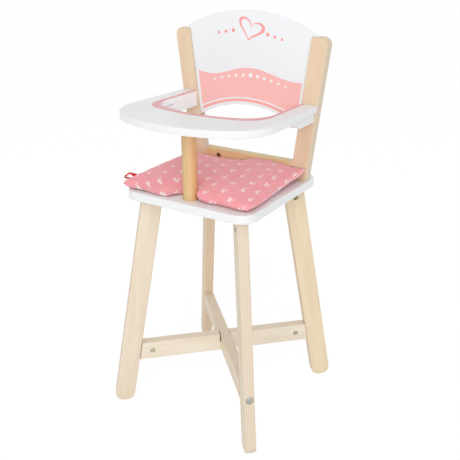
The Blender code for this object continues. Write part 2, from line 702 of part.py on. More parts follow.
def tray_board(chair):
    outer = tray_curve(
        TRAY_REAR_HALF_WIDTH, TRAY_ARM_FLARE_ANGLE, TRAY_FRONT_REACH, TRAY_FRONT_RADIUS,
        TRAY_CORNER_RADIUS,
    )
    inner = tray_curve(
        OPENING_HALF_WIDTH, 0, OPENING_FRONT_REACH, OPENING_FRONT_RADIUS, OPENING_CORNER_RADIUS
    )
    outline = mirrored(outer) + list(reversed(mirrored(inner)))
    at_posts = TRAY_ARM_END - WELD_DISTANCE
    mesh = board_mesh(
        outline, TRAY_THICKNESS, TRAY_EDGE_ROUNDING, lambda a, b: a.y > at_posts and b.y > at_posts
    )
    middle = TRAY_UNDERSIDE + TRAY_THICKNESS / 2
    piece = finish(solid("tray_board", mesh, chair, (0, 0, middle)), "white lacquer")
    drill(
        piece, "post_tray_socket", (0, -CROTCH_POST_REACH, -TRAY_THICKNESS / 2), (0, 0, 1),
        SOCKET_DEPTH, POST_RADIUS + CONTACT_GAP, POST_SIDES,
    )
    return piece


def tray_cheek(name, side, chair):
    """The wedge glued under a tray arm: X runs backward and Y upward, with its rear end on the post."""
    outline = rounded([
        (-CHEEK_TOP_LENGTH, CHEEK_HEIGHT, 0),
        (-CHEEK_BOTTOM_LENGTH, 0, CHEEK_NOSE_RADIUS),
        (0, 0, 0), (0, CHEEK_HEIGHT, 0),
    ])

    def stays_square(a, b):
        """The glued top and the rear end keep sharp rims."""
        on_top = min(a.y, b.y) > CHEEK_HEIGHT - WELD_DISTANCE
        at_rear = min(a.x, b.x) > -WELD_DISTANCE
        return on_top or at_rear

    mesh = board_mesh(outline, CHEEK_WIDTH, CHEEK_EDGE_ROUNDING, stays_square)
    middle = side * (OPENING_HALF_WIDTH + CHEEK_WIDTH / 2)
    place = (middle, TRAY_ARM_END, CHEEK_UNDERSIDE)
    piece = solid(f"tray_{name}_cheek", mesh, chair, place, (math.pi / 2, 0, math.pi / 2))
    finish(piece, "white lacquer")
    bolt_offset = side * TRAY_BOLT_SPACING / 2 - middle
    mouth = (0, CHEEK_HEIGHT / 2, bolt_offset)
    insert_depth = INSERT_LENGTH + 2 * CONTACT_GAP
    drill(
        piece, f"tray_{name}_insert_hole", mouth, (-1, 0, 0), insert_depth,
        INSERT_DIAMETER / 2 + CONTACT_GAP, ROUND_SIDES,
    )
    screw_depth = insert_depth + BOLT_PAST_NUT + 2 * CUT_OVERRUN
    drill(piece, f"tray_{name}_bolt_run", mouth, (-1, 0, 0), screw_depth, BORE_RADIUS)

    reach = side * TRAY_BOLT_SPACING / 2
    head_seat = FRAME_REAR - HEAD_RECESS_DEPTH
    bolt(
        f"tray_{name}_bolt", chair, (reach, head_seat, TRAY_BOLT_HEIGHT), (0, -1, 0), TRAY_BOLT_LENGTH
    )
    threaded_insert(f"tray_{name}_insert", chair, (reach, TRAY_ARM_END, TRAY_BOLT_HEIGHT))
    return piece


def threaded_insert(name, chair, mouth):
    """A threaded sleeve in the cheek's rear end that takes the tray's bolt."""
    radius = INSERT_DIAMETER / 2
    profile = [
        (0, -INSERT_LENGTH), (radius - BARREL_CHAMFER, -INSERT_LENGTH),
        (radius, -INSERT_LENGTH + BARREL_CHAMFER), (radius, 0), (0, 0),
    ]
    location = Vector(mouth) - Vector((0, CONTACT_GAP, 0))
    piece = solid(name, turned_mesh(profile, ROUND_SIDES), chair, location, toward((0, 1, 0)))
    depth = INSERT_LENGTH + CUT_OVERRUN
    drill(piece, f"{name}_bore", (0, 0, 0), (0, 0, -1), depth, BORE_RADIUS)
    return finish(piece, "zinc")


# Cushion

def cushion_point(side, share, along):
    """A point in the cushion's plan, with its distances from the seams round it.

    The share runs from the slit's line at 0 to the side seam at 1, and along from front to back.
    """
    rear = FRAME_FRONT_SETBACK - CONTACT_GAP
    depth = rear + CUSHION_FRONT_REACH
    behind = depth * along
    slit_left = max(0, 1 - behind / SLIT_DEPTH)
    inside = (SLIT_LEFT_REACH if side < 0 else SLIT_RIGHT_REACH) * slit_left
    drawn = CUSHION_SIDE_DRAW * math.sin(math.pi * along)
    edge = CUSHION_WIDTH / 2 + side * CUSHION_SHIFT - drawn
    reach = inside + (edge - inside) * share
    bow = CUSHION_FRONT_DRAW * math.sin(math.pi * share) * (1 - along) ** 3
    rounding = LEFT_LOBE_ROUNDING if side < 0 else RIGHT_LOBE_ROUNDING
    bow += rounding * max(0, 1 - share / LOBE_CORNER_SHARE) ** 2 * slit_left
    notch = BACK_NOTCH_DEPTH * max(0, 1 - reach / BACK_NOTCH_HALF_WIDTH)
    y = behind - CUSHION_FRONT_REACH + bow - notch * along ** 6
    from_front = y + CUSHION_FRONT_REACH - bow
    from_slit = reach - inside if behind < SLIT_DEPTH else math.hypot(reach, behind - SLIT_DEPTH)
    gaps = (edge - reach, from_front, rear - notch - y, from_slit)
    return side * reach, y, gaps


def puffed(distance, reach):
    """How full the stuffing is at a distance from a seam, rising from 0 to 1 over the reach."""
    near = min(1, max(0, distance) / reach)
    return math.sqrt(1 - (1 - near) ** 2)


def between_halves(left, right, x):
    """A value that differs between the halves, with a soft change across the middle."""
    return left + (right - left) * (1 + math.tanh(x / HALVES_BLEND)) / 2


def cushion_heights(x, y, share, gaps, on_seam):
    """The heights of the cushion's top and underside at a place in its plan."""
    reaches = (SIDE_PUFF_REACH, FRONT_PUFF_REACH, BACK_PUFF_REACH, SLIT_PUFF_REACH)
    rises = [0 if on_seam else puffed(gap, reach) for gap, reach in zip(gaps, reaches)]
    full = math.sqrt(math.prod(rises) * min(rises))
    flat = 0 if on_seam else math.prod(puffed(gap, CUSHION_UNDER_REACH) for gap in gaps)
    base = SEAT_TOP + CONTACT_GAP
    curl = max(0, 1 - gaps[2] / CUSHION_BACK_CURL) ** 2 * (1 - BACK_CORNER_DROP_SHARE * share ** 3)
    from_slit_end = math.hypot(x, y + CUSHION_FRONT_REACH - SLIT_DEPTH)
    seam = base + CUSHION_SEAM_HEIGHT + between_halves(LEFT_BACK_LIFT, RIGHT_BACK_LIFT, x) * curl
    seam += SLIT_END_LIFT * math.exp(-(from_slit_end / SLIT_END_SPREAD) ** 2)
    crown = base + between_halves(LEFT_CROWN_HEIGHT, RIGHT_CROWN_HEIGHT, x)
    top = seam + (crown - seam) * full
    under = seam + (base - seam) * flat
    return top, under


def cushion(carrier):
    """A pillow with a seam all round, crowned between its drawn-in sides and slit at the front."""
    slit_share = SLIT_DEPTH / (FRAME_FRONT_SETBACK - CONTACT_GAP + CUSHION_FRONT_REACH)
    swing = [math.sin(math.pi / 2 * step / SLIT_ROWS) for step in range(SLIT_ROWS)]
    rows = [slit_share * part for part in swing]
    swing = [math.sin(math.pi / 2 * step / FIELD_ROWS) for step in range(FIELD_ROWS + 1)]
    rows += [slit_share + (1 - slit_share) * part for part in swing]
    lobe = [(1 - math.cos(math.pi * step / LOBE_COLUMNS)) / 2 for step in range(LOBE_COLUMNS + 1)]
    mesh = bmesh.new()
    for side in SIDES.values():
        columns = []
        for column, share in enumerate(lobe):
            points = []
            for row, along in enumerate(rows):
                x, y, gaps = cushion_point(side, share, along)
                on_slit = column == 0 and row <= SLIT_ROWS
                on_seam = on_slit or column == LOBE_COLUMNS or row in (0, len(rows) - 1)
                heights = cushion_heights(x, y, share, gaps, on_seam)
                points.append([mesh.verts.new((x, y, z)) for z in heights])
            columns.append(points)
        for near, far in zip(columns, columns[1:]):
            for row in range(len(rows) - 1):
                for layer in (0, 1):
                    corners = (near[row], far[row], far[row + 1], near[row + 1])
                    mesh.faces.new([corner[layer] for corner in corners])
    bmesh.ops.remove_doubles(mesh, verts=mesh.verts, dist=WELD_DISTANCE)
    return finish(solid("cushion", mesh, carrier), "pink cotton")


def cushion_tag(carrier):
    """A loop of ribbon that stands out of the left side seam: X outward along the loop, Y upward."""
    depth = FRAME_FRONT_SETBACK - CONTACT_GAP + CUSHION_FRONT_REACH
    seam_x = cushion_point(-1, 1, (TAG_SETBACK - TAG_WIDTH / 2) / depth)[0]
    seam_y = cushion_point(-1, 1, TAG_SETBACK / depth)[1]
    seam_height = SEAT_TOP + CONTACT_GAP + CUSHION_SEAM_HEIGHT
    peak = TAG_LENGTH * TAG_PEAK_SHARE
    outline = [
        (0, -TAG_THICKNESS), (TAG_LENGTH, -TAG_THICKNESS), (TAG_LENGTH, 0),
        (peak, TAG_OPENING + TAG_THICKNESS), (0, TAG_THICKNESS),
    ]
    place = (seam_x - CONTACT_GAP, seam_y, seam_height)
    piece = solid("cushion_tag", board_mesh(outline, TAG_WIDTH), carrier, place, (math.pi / 2, 0, math.pi))
    window = [
        (TAG_LENGTH * TAG_WINDOW_SHARE, 0), (TAG_LENGTH - 2 * TAG_THICKNESS, 0),
        (peak, TAG_OPENING - TAG_THICKNESS),
    ]
    cut(piece, solid("tag_window_cutter", board_mesh(window, TAG_WIDTH + CUT_OVERRUN)))
    return finish(piece, "red ribbon")


# Assembly

def foot_reach():
    """How far the rounded feet reach along X or Y from the middle of the cross."""
    inset = LEG_SLOPE * LEG_FOOT_ROUNDING + LEG_FOOT_ROUNDING / math.cos(LEG_LEAN) - LEG_FOOT_ROUNDING
    corner = leg_line(0, 1) - inset + LEG_THICKNESS / 2 - 2 * LEG_EDGE_ROUNDING
    return corner / math.sqrt(2) + LEG_EDGE_ROUNDING


def build():
    clear_scene()
    middle = (TRAY_FRONT_REACH - foot_reach()) / 2
    chair = empty("chair", (0, middle, 0), (0, 0, 0))
    for name, azimuth in CORNERS.items():
        stand = empty(f"{name}_corner", (0, 0, 0), (math.pi / 2, 0, azimuth), chair)
        leg(name, stand)
    lower = empty("lower_stretcher_line", (0, 0, 0), (math.pi / 2, 0, CORNERS["back_right"]), chair)
    stretcher("lower_stretcher", lower, {"back_right": 1, "front_left": -1}, True, 1)
    upper = empty("upper_stretcher_line", (0, 0, 0), (math.pi / 2, 0, CORNERS["front_right"]), chair)
    stretcher("upper_stretcher", upper, {"front_right": 1, "back_left": -1}, False, -1)
    seat_board(chair)
    crotch_post(chair)
    crotch_post_screw(chair)
    back_frame(chair)
    back_panel(chair)
    tray_board(chair)
    for name, side in SIDES.items():
        tray_cheek(name, side, chair)
    carrier = empty("cushion_lift", (0, 0, 0), (0, 0, 0), chair)
    cushion(carrier)
    cushion_tag(carrier)


build()
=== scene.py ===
# %% [markdown]
# A doll's high chair, dressed for its portrait. The wooden construction arrives as a fixed frame of
# solids at real size. This lesson adds what those solids lack: plywood with its layers showing, white
# lacquer, screen-printed paint, zinc hardware, and a stuffed cotton cushion with its ribbon.
# We work in metres, with +Z up and the chair facing -Y.

import math

import bmesh
import bpy
from mathutils import Matrix, Vector, noise


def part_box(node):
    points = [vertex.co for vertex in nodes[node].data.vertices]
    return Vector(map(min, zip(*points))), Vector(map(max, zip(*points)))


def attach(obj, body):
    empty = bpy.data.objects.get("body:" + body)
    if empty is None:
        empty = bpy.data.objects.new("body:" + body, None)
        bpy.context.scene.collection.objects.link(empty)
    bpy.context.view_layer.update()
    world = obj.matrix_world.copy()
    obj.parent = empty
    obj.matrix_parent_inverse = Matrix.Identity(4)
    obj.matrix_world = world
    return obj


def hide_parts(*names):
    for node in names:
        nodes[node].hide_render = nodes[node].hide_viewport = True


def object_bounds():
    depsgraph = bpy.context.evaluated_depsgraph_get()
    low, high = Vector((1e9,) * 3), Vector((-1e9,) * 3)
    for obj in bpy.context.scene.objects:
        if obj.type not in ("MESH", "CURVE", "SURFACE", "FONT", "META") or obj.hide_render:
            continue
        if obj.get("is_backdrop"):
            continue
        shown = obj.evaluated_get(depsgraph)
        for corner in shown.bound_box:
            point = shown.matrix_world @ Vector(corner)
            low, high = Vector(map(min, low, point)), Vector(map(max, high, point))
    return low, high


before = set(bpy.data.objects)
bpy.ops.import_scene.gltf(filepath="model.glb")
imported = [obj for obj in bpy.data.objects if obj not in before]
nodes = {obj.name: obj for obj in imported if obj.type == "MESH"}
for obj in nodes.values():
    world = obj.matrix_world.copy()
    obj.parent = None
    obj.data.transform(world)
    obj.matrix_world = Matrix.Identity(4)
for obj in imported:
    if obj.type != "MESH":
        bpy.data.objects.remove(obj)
cad_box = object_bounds()
MM = 0.001
print("pieces in the frame:", len(nodes))
print("chair in millimetres:", [round(size / MM) for size in cad_box[1] - cad_box[0]])

# %% [markdown]
# The camera comes first, because every later choice is judged through it. The picture's viewpoint was
# found from the chair's own straight lines: the camera stands to the right of the chair's front, looks
# down by about 23 degrees, and sees a square picture. A rotation is built from three plain turns, in the
# order in which a camera on a tripod is aimed: roll it, tip it, then swing it round.

# %% Place the camera
PICTURE_PIXELS = 460
SENSOR_WIDTH = 36.0
FOCAL_PIXELS = 685.96
CENTRE_PIXEL = (229.86, 230.42)
CAMERA_PLACE = Vector((502.5, -769.2, 659.7)) * MM
CAMERA_YAW = math.radians(32.56)
CAMERA_PITCH = math.radians(23.04)
CAMERA_ROLL = math.radians(-0.16)

camera_data = bpy.data.cameras.new("portrait_camera")
camera_data.sensor_width = SENSOR_WIDTH
camera_data.lens = FOCAL_PIXELS / PICTURE_PIXELS * SENSOR_WIDTH
camera_data.shift_x = 0.5 - CENTRE_PIXEL[0] / PICTURE_PIXELS
camera_data.shift_y = CENTRE_PIXEL[1] / PICTURE_PIXELS - 0.5
camera = bpy.data.objects.new("portrait_camera", camera_data)
bpy.context.scene.collection.objects.link(camera)
swing = Matrix.Rotation(CAMERA_YAW, 4, "Z")
tip = Matrix.Rotation(math.pi / 2 - CAMERA_PITCH, 4, "X")
roll = Matrix.Rotation(CAMERA_ROLL, 4, "Z")
camera.matrix_world = Matrix.Translation(CAMERA_PLACE) @ swing @ tip @ roll
bpy.context.scene.camera = camera
print("lens in millimetres:", round(camera_data.lens, 2))

# %% [markdown]
# Colours are written as the eye sees them, from 0 to 255. A shader counts light instead, and there a
# grey of 188 is only half of white, so one small function turns the first into the second.

# %% Colours
def seen(red, green, blue):
    """A colour as it looks on a screen, as the linear colour that a shader takes."""
    linear = []
    for value in (red, green, blue):
        share = value / 255
        linear.append(share / 12.92 if share <= 0.04045 else ((share + 0.055) / 1.055) ** 2.4)
    return (*linear, 1)


print("a grey of 188 is", round(seen(188, 188, 188)[0], 2), "in linear light")

# %% [markdown]
# Materials are node trees, and a tree is quicker to read when each step is one short line. This recipe
# adds a node, feeds it numbers or the outputs of other nodes, and hands back its output. Wood and cloth
# have patterns that run one way, so a noise can also be stretched by its own amount in each direction.

# %% Steps of a material
class Recipe:
    """A material's node tree, with one short method for each kind of step."""

    def __init__(self, name, roughness=0.5, metallic=0):
        self.material = bpy.data.materials.new(name)
        self.material.use_nodes = True
        self.tree = self.material.node_tree
        self.shader = self.tree.nodes["Principled BSDF"]
        self.shader.inputs["Roughness"].default_value = roughness
        self.shader.inputs["Metallic"].default_value = metallic
        self.place = self.add("ShaderNodeTexCoord").outputs["Object"]
        self.normal = self.add("ShaderNodeTexCoord").outputs["Normal"]

    def add(self, kind, **settings):
        step = self.tree.nodes.new(kind)
        for key, value in settings.items():
            setattr(step, key, value)
        return step

    def feed(self, socket, value):
        if isinstance(value, bpy.types.NodeSocket):
            self.tree.links.new(value, socket)
        else:
            socket.default_value = value

    def math(self, operation, *values):
        step = self.add("ShaderNodeMath", operation=operation)
        for socket, value in zip(step.inputs, values):
            self.feed(socket, value)
        return step.outputs[0]

    def dot(self, vector, axis):
        step = self.add("ShaderNodeVectorMath", operation="DOT_PRODUCT")
        self.feed(step.inputs[0], vector)
        self.feed(step.inputs[1], axis)
        return step.outputs["Value"]

    def vector(self, x, y, z=0.0):
        step = self.add("ShaderNodeCombineXYZ")
        for socket, value in zip(step.inputs, (x, y, z)):
            self.feed(socket, value)
        return step.outputs[0]

    def split(self, vector):
        """The three parts of a vector, each as an output of its own."""
        step = self.add("ShaderNodeSeparateXYZ")
        self.feed(step.inputs[0], vector)
        return step.outputs

    def weighed(self, *parts):
        """The sum of some values, each times its weight."""
        total = 0.0
        for value, weight in parts:
            total = self.math("MULTIPLY_ADD", value, weight, total)
        return total

    def noise(self, vector, scale=1.0, detail=2.0, roughness=0.5):
        step = self.add("ShaderNodeTexNoise")
        self.feed(step.inputs["Vector"], vector)
        for key, value in (("Scale", scale), ("Detail", detail), ("Roughness", roughness)):
            step.inputs[key].default_value = value
        return step.outputs["Fac"]

    def stretched_noise(self, ways, scales, **settings):
        """Noise with a scale of its own along each of three directions."""
        parts = [self.math("MULTIPLY", way, scale) for way, scale in zip(ways, scales)]
        return self.noise(self.vector(*parts), **settings)

    def ramp(self, value, start, end):
        """0 below the start, 1 above the end and a smooth rise between them."""
        step = self.add("ShaderNodeMapRange", interpolation_type="SMOOTHSTEP")
        self.feed(step.inputs["Value"], value)
        self.feed(step.inputs["From Min"], start)
        self.feed(step.inputs["From Max"], end)
        return step.outputs["Result"]

    def mix(self, share, first, second):
        step = self.add("ShaderNodeMix", data_type="RGBA")
        self.feed(step.inputs["Factor"], share)
        self.feed(step.inputs[6], first)
        self.feed(step.inputs[7], second)
        return step.outputs[2]

    def tint(self, colour, filter_colour):
        """The colour as it looks through a filter of the second colour."""
        step = self.add("ShaderNodeMix", data_type="RGBA", blend_type="MULTIPLY")
        step.inputs["Factor"].default_value = 1.0
        self.feed(step.inputs[6], colour)
        self.feed(step.inputs[7], seen(*filter_colour))
        return step.outputs[2]

    def color(self, value):
        self.feed(self.shader.inputs["Base Color"], value)

    def rough(self, value, low, high):
        """Roughness that follows a 0 to 1 pattern between two limits."""
        self.feed(self.shader.inputs["Roughness"], self.math("MULTIPLY_ADD", value, high - low, low))

    def bump(self, height, depth):
        """Relief from a 0 to 1 pattern, as deep as given in metres."""
        step = self.add("ShaderNodeBump")
        self.feed(step.inputs["Height"], height)
        step.inputs["Distance"].default_value = depth
        self.tree.links.new(step.outputs[0], self.shader.inputs["Normal"])


def dress(piece, recipe):
    """Gives the piece this one material."""
    piece.data.materials.clear()
    piece.data.materials.append(recipe.material)


print("steps that a recipe knows:", [step for step in vars(Recipe) if not step.startswith("_")])

# %% [markdown]
# The set is as plain as a catalogue page, and it starts with a pale floor. To the camera and in
# reflections the floor looks white: its paper is mixed with a glow that only those rays see. The glow
# adds no light to the chair, and the share of paper that is left shows a faint shadow.

# %% Pale floor
FLOOR_SIZE = 60.0
FLOOR_PAPER = seen(246, 246, 246)
FLOOR_GLOW = 1.05
FLOOR_GLOW_SHARE = 0.85


def shown_rays(tree):
    """1 for rays from the camera, in reflections and through clear things, and 0 for the rest."""
    path = tree.nodes.new("ShaderNodeLightPath")
    shown = path.outputs["Is Camera Ray"]
    for kind in ("Is Glossy Ray", "Is Transmission Ray"):
        either = tree.nodes.new("ShaderNodeMath")
        either.operation = "MAXIMUM"
        tree.links.new(shown, either.inputs[0])
        tree.links.new(path.outputs[kind], either.inputs[1])
        shown = either.outputs[0]
    return shown


floor_mesh = bmesh.new()
bmesh.ops.create_grid(floor_mesh, x_segments=8, y_segments=8, size=FLOOR_SIZE / 2)
floor_data = bpy.data.meshes.new("floor")
floor_mesh.to_mesh(floor_data)
floor_mesh.free()
floor = bpy.data.objects.new("floor", floor_data)
bpy.context.scene.collection.objects.link(floor)
floor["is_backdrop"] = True

paper = Recipe("pale floor", roughness=0.9)
paper.color(FLOOR_PAPER)
glow = paper.add("ShaderNodeEmission")
glow.inputs["Strength"].default_value = FLOOR_GLOW
blend = paper.add("ShaderNodeMixShader")
paper.feed(blend.inputs[0], paper.math("MULTIPLY", shown_rays(paper.tree), FLOOR_GLOW_SHARE))
paper.feed(blend.inputs[1], paper.shader.outputs[0])
paper.feed(blend.inputs[2], glow.outputs[0])
paper.feed(paper.tree.nodes["Material Output"].inputs[0], blend.outputs[0])
dress(floor, paper)
print("floor is", FLOOR_SIZE, "metres wide")

# %% [markdown]
# The light is soft and comes from the front. One large panel stands near the camera, so that faces turned
# toward the viewer are the brightest, tops are a little darker, and the sides that look away fall off
# gently.

# %% Soft light
KEY_AIM = Vector((0.0, 0.0, 0.28))
KEY_DIRECTION = Vector((0.42, -0.78, 0.50)).normalized()
KEY_DISTANCE = 2.2
KEY_SIZE = 1.9
KEY_POWER = 22.0

key_data = bpy.data.lights.new("soft_panel", "AREA")
key_data.size = KEY_SIZE
key_data.energy = KEY_POWER
key = bpy.data.objects.new("soft_panel", key_data)
key.location = KEY_AIM + KEY_DIRECTION * KEY_DISTANCE
key.rotation_euler = KEY_DIRECTION.to_track_quat("Z", "Y").to_euler()
bpy.context.scene.collection.objects.link(key)
print("panel stands at", [round(value, 2) for value in key.location])

# %% [markdown]
# A white world fills in the rest. Like the floor, it looks fully white to the camera and in reflections
# only, and it lights the chair with less. The view transform is Standard, so a colour comes out as it is
# written.

# %% White room
WORLD_STRENGTH = 0.70

world = bpy.data.worlds.new("white room")
world.use_nodes = True
sky = world.node_tree.nodes["Background"]
sky.inputs["Color"].default_value = (1, 1, 1, 1)
room_light = world.node_tree.nodes.new("ShaderNodeMapRange")
room_light.inputs["To Min"].default_value = WORLD_STRENGTH
world.node_tree.links.new(shown_rays(world.node_tree), room_light.inputs["Value"])
world.node_tree.links.new(room_light.outputs["Result"], sky.inputs["Strength"])
bpy.context.scene.world = world
bpy.context.scene.view_settings.view_transform = "Standard"
print("the world lights the chair at a strength of", WORLD_STRENGTH)

# %% [markdown]
# Birch plywood has two looks: the pale veneer of its faces and the stack of layers on its edges. Both
# depend only on where a point lies in the board, so each board is given its own three directions: along
# the grain, across it, and through the thickness. The veneer is three noises on top of each other, a
# broad figure, fine streaks and short flecks, all stretched along the grain.

# %% Birch veneer
VENEER_LIGHT = seen(237, 223, 203)
VENEER_DARK = seen(225, 207, 182)
FIGURE_SCALES = (9, 70, 40)
STREAK_SCALES = (35, 900, 900)
FLECK_SCALES = (220, 1500, 1500)


def birch_veneer(wood, ways, streaks):
    """The colour of a board's face."""
    figure = wood.stretched_noise(ways, FIGURE_SCALES, detail=3)
    flecks = wood.ramp(wood.stretched_noise(ways, FLECK_SCALES, detail=1), 0.66, 0.80)
    tone = wood.weighed(
        (wood.ramp(figure, 0.3, 0.7), 0.55), (wood.ramp(streaks, 0.25, 0.75), 0.45), (flecks, 0.35)
    )
    return wood.mix(tone, VENEER_LIGHT, VENEER_DARK)


print("streaks are", round(STREAK_SCALES[1] / STREAK_SCALES[0]), "times as long as they are wide")

# %% [markdown]
# On an edge, every other layer runs along the board and looks smooth, while the ones between show their
# end grain and look darker. Where an edge cuts across the grain, the two kinds of layer swap roles. Thin
# glue lines part the layers, and next to the faces the edge is a shade warmer. The stretchers are halved
# over each other, and the end grain in that joint's narrow gap gets a strip of painted shade.

# %% Layered edge
PLY_COUNT = 9
GLUE_SHARE = 0.10
GLUE_STRENGTH = 0.35
LONG_LAYER = seen(233, 216, 195)
END_LAYER = seen(222, 202, 178)
GLUE_LINE = seen(207, 183, 155)
OUTER_LINE = seen(205, 160, 122)
OUTER_FADE = (0.72 * MM, 0.27 * MM)
OUTER_STRENGTH = 0.5
CROSS_GRAIN = (0.45, 0.85)
# Painted shade for the gap of the stretchers' halved joint.
JOINT_GAP_SHADE = seen(170, 92, 50)
JOINT_SHADE_START = -12 * MM
JOINT_SHADE_END = -6 * MM
JOINT_SHADE_FADE = 2 * MM


def layered_edge(wood, depth, streaks, facing, thickness):
    """The colour of a board's edge, and where its glue lines run."""
    ply = wood.math("DIVIDE", wood.math("ADD", depth, thickness / 2), thickness / PLY_COUNT)
    odd = wood.math("MODULO", wood.math("FLOOR", ply), 2.0)
    end_grain = wood.math("ABSOLUTE", wood.math("SUBTRACT", odd, wood.ramp(facing, *CROSS_GRAIN)))
    tone = wood.weighed((end_grain, 0.78), (wood.ramp(streaks, 0.3, 0.7), 0.22))
    inside = wood.math("ABSOLUTE", wood.math("SUBTRACT", wood.math("FRACT", ply), 0.5))
    glue = wood.ramp(inside, 0.5 - GLUE_SHARE, 0.5)
    layers = wood.mix(tone, LONG_LAYER, END_LAYER)
    layers = wood.mix(wood.math("MULTIPLY", glue, GLUE_STRENGTH), layers, GLUE_LINE)
    from_face = wood.math("SUBTRACT", thickness / 2, wood.math("ABSOLUTE", depth))
    outer = wood.ramp(from_face, *OUTER_FADE)
    return wood.mix(wood.math("MULTIPLY", outer, OUTER_STRENGTH), layers, OUTER_LINE), glue


def painted_joint_shade(wood, layers, facing, past_crossing):
    """The same edge, with a strip of painted shade on the end grain in the halved joint's gap."""
    past_start = wood.ramp(past_crossing, JOINT_SHADE_START, JOINT_SHADE_START + JOINT_SHADE_FADE)
    before_end = wood.ramp(past_crossing, JOINT_SHADE_END, JOINT_SHADE_END - JOINT_SHADE_FADE)
    shade_strip = wood.math("MULTIPLY", past_start, before_end)
    return wood.mix(wood.math("MULTIPLY", wood.ramp(facing, 0.9, 0.98), shade_strip), layers, JOINT_GAP_SHADE)


print("scorched strip is", round((JOINT_SHADE_END - JOINT_SHADE_START) / MM), "millimetres wide")

# %% [markdown]
# A board's material puts the two looks together: the veneer where the surface faces the same way as the
# board, the layers elsewhere, and a soft change between them over the rounded arrises. Two filters warm
# or cool its faces and its edges. A third one is painted shade on the back frame's cross rail: it darkens
# and yellows the rail, as the tray's shade and the light thrown back by the pink cushion do.

# %% Birch plywood
RAIL_HALF = 70 * MM
RAIL_TOP = 371 * MM
RAIL_FADE = 2 * MM
ARRIS_FADE = (0.86, 0.62)
BIRCH_RELIEF = 0.06 * MM


def middle_of(node):
    low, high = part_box(node)
    return (low + high) / 2


crossing = (middle_of("lower_stretcher") + middle_of("upper_stretcher")) / 2


def birch_plywood(name, grain, face, middle, thickness, warmth, edge_warmth=None, rail_painted_shade=None):
    """Plywood for a board with this grain direction, face direction and middle point."""
    wood = Recipe(name, roughness=0.5)
    grain = Vector(grain).normalized()
    face = Vector(face).normalized()
    along = wood.dot(wood.place, grain)
    side = wood.dot(wood.place, grain.cross(face))
    depth = wood.math("SUBTRACT", wood.dot(wood.place, face), Vector(middle).dot(face))
    streaks = wood.stretched_noise((along, side, depth), STREAK_SCALES, detail=2, roughness=0.6)
    veneer = birch_veneer(wood, (along, side, depth), streaks)
    facing = wood.math("ABSOLUTE", wood.dot(wood.normal, grain))
    layers, glue = layered_edge(wood, depth, streaks, facing, thickness)
    # Painted shade on the end grain in the halved joint's gap.
    layers = painted_joint_shade(wood, layers, facing, wood.math("SUBTRACT", along, crossing.dot(grain)))
    on_edge = wood.ramp(wood.math("ABSOLUTE", wood.dot(wood.normal, face)), *ARRIS_FADE)
    colour = wood.mix(on_edge, wood.tint(veneer, warmth), wood.tint(layers, edge_warmth or warmth))
    # Painted shade: between the posts and below the rail's top, the colour is darkened and yellowed by a
    # filter.
    if rail_painted_shade:
        x, _, z = wood.split(wood.place)
        between_posts = wood.ramp(wood.math("ABSOLUTE", x), RAIL_HALF + RAIL_FADE, RAIL_HALF)
        below_top = wood.ramp(z, RAIL_TOP + RAIL_FADE / 2, RAIL_TOP - RAIL_FADE / 2)
        rail_shade_mask = wood.math("MULTIPLY", between_posts, below_top)
        colour = wood.mix(rail_shade_mask, colour, wood.tint(colour, rail_painted_shade))
    wood.color(colour)
    wood.rough(streaks, 0.42, 0.58)
    wood.bump(wood.math("SUBTRACT", streaks, wood.math("MULTIPLY", glue, on_edge)), BIRCH_RELIEF)
    return wood


print("stretchers cross at", [round(value / MM) for value in crossing], "millimetres")

# %% [markdown]
# Now the boards. The grain runs down each leg, which leans outward, and along each stretcher. In the back
# frame it runs up the posts. No two boards of real plywood have quite the same tone, so each has its own
# faint filter, where 255 leaves a colour as it is.

# %% Plywood boards
LEG_BOARD = 14.8 * MM
FRAME_BOARD = 15 * MM
LEG_SPLAY = 0.178
LEG_WARMTH = {
    "front_left": (252, 252, 252), "front_right": (250, 252, 252),
    "back_left": (255, 247, 238), "back_right": (255, 252, 241),
}
BAR_WARMTH = {"lower": (257, 261, 265), "upper": (252, 253, 253)}
# The "rail" filter is painted shade, for the tray's shade and the cushion's warm bounce on the rail.
FRAME_WARMTH = {"face": (251, 240, 227), "edge": (248, 250, 247), "rail": (255, 246, 216)}
CORNERS = {"front_left": (-1, -1), "front_right": (1, -1), "back_left": (-1, 1), "back_right": (1, 1)}

for corner, (x, y) in CORNERS.items():
    outward = Vector((x, y, 0)).normalized()
    grain = Vector((0, 0, 1)) - outward * LEG_SPLAY
    face = Vector((-outward.y, outward.x, 0))
    dress(nodes[f"{corner}_leg"], birch_plywood(
        f"birch {corner} leg", grain, face, crossing, LEG_BOARD, LEG_WARMTH[corner]
    ))
for bar, (x, y) in {"lower": (1, 1), "upper": (1, -1)}.items():
    grain = Vector((x, y, 0))
    face = Vector((-y, x, 0))
    dress(nodes[f"{bar}_stretcher"], birch_plywood(
        f"birch {bar} stretcher", grain, face, crossing, LEG_BOARD, BAR_WARMTH[bar]
    ))
dress(nodes["back_frame"], birch_plywood(
    "birch back frame", (0, 0, 1), (0, 1, 0), middle_of("back_frame"), FRAME_BOARD,
    FRAME_WARMTH["face"], FRAME_WARMTH["edge"], FRAME_WARMTH["rail"]
))
print("plywood layer in millimetres:", round(LEG_BOARD / PLY_COUNT / MM, 2))

# %% [markdown]
# The crotch post is solid beech, turned from one straight length. Beech is warmer than birch, and its
# mark is the fleck: thousands of short dark dashes that run with the grain. The post also gets painted
# light by the way its surface faces: painted shade darkens and warms its right and back side, and its lit
# left and front side is toned down a little.

# %% Beech post
BEECH_LIGHT = seen(236, 198, 149)
BEECH_DARK = seen(219, 176, 125)
BEECH_FLECK = seen(192, 146, 98)
BEECH_FIGURE_SCALES = (160, 160, 6)
BEECH_STREAK_SCALES = (1100, 1100, 30)
BEECH_FLECK_SCALES = (1900, 1900, 330)
BEECH_FLECK_STRENGTH = 0.55
BEECH_RELIEF = 0.04 * MM
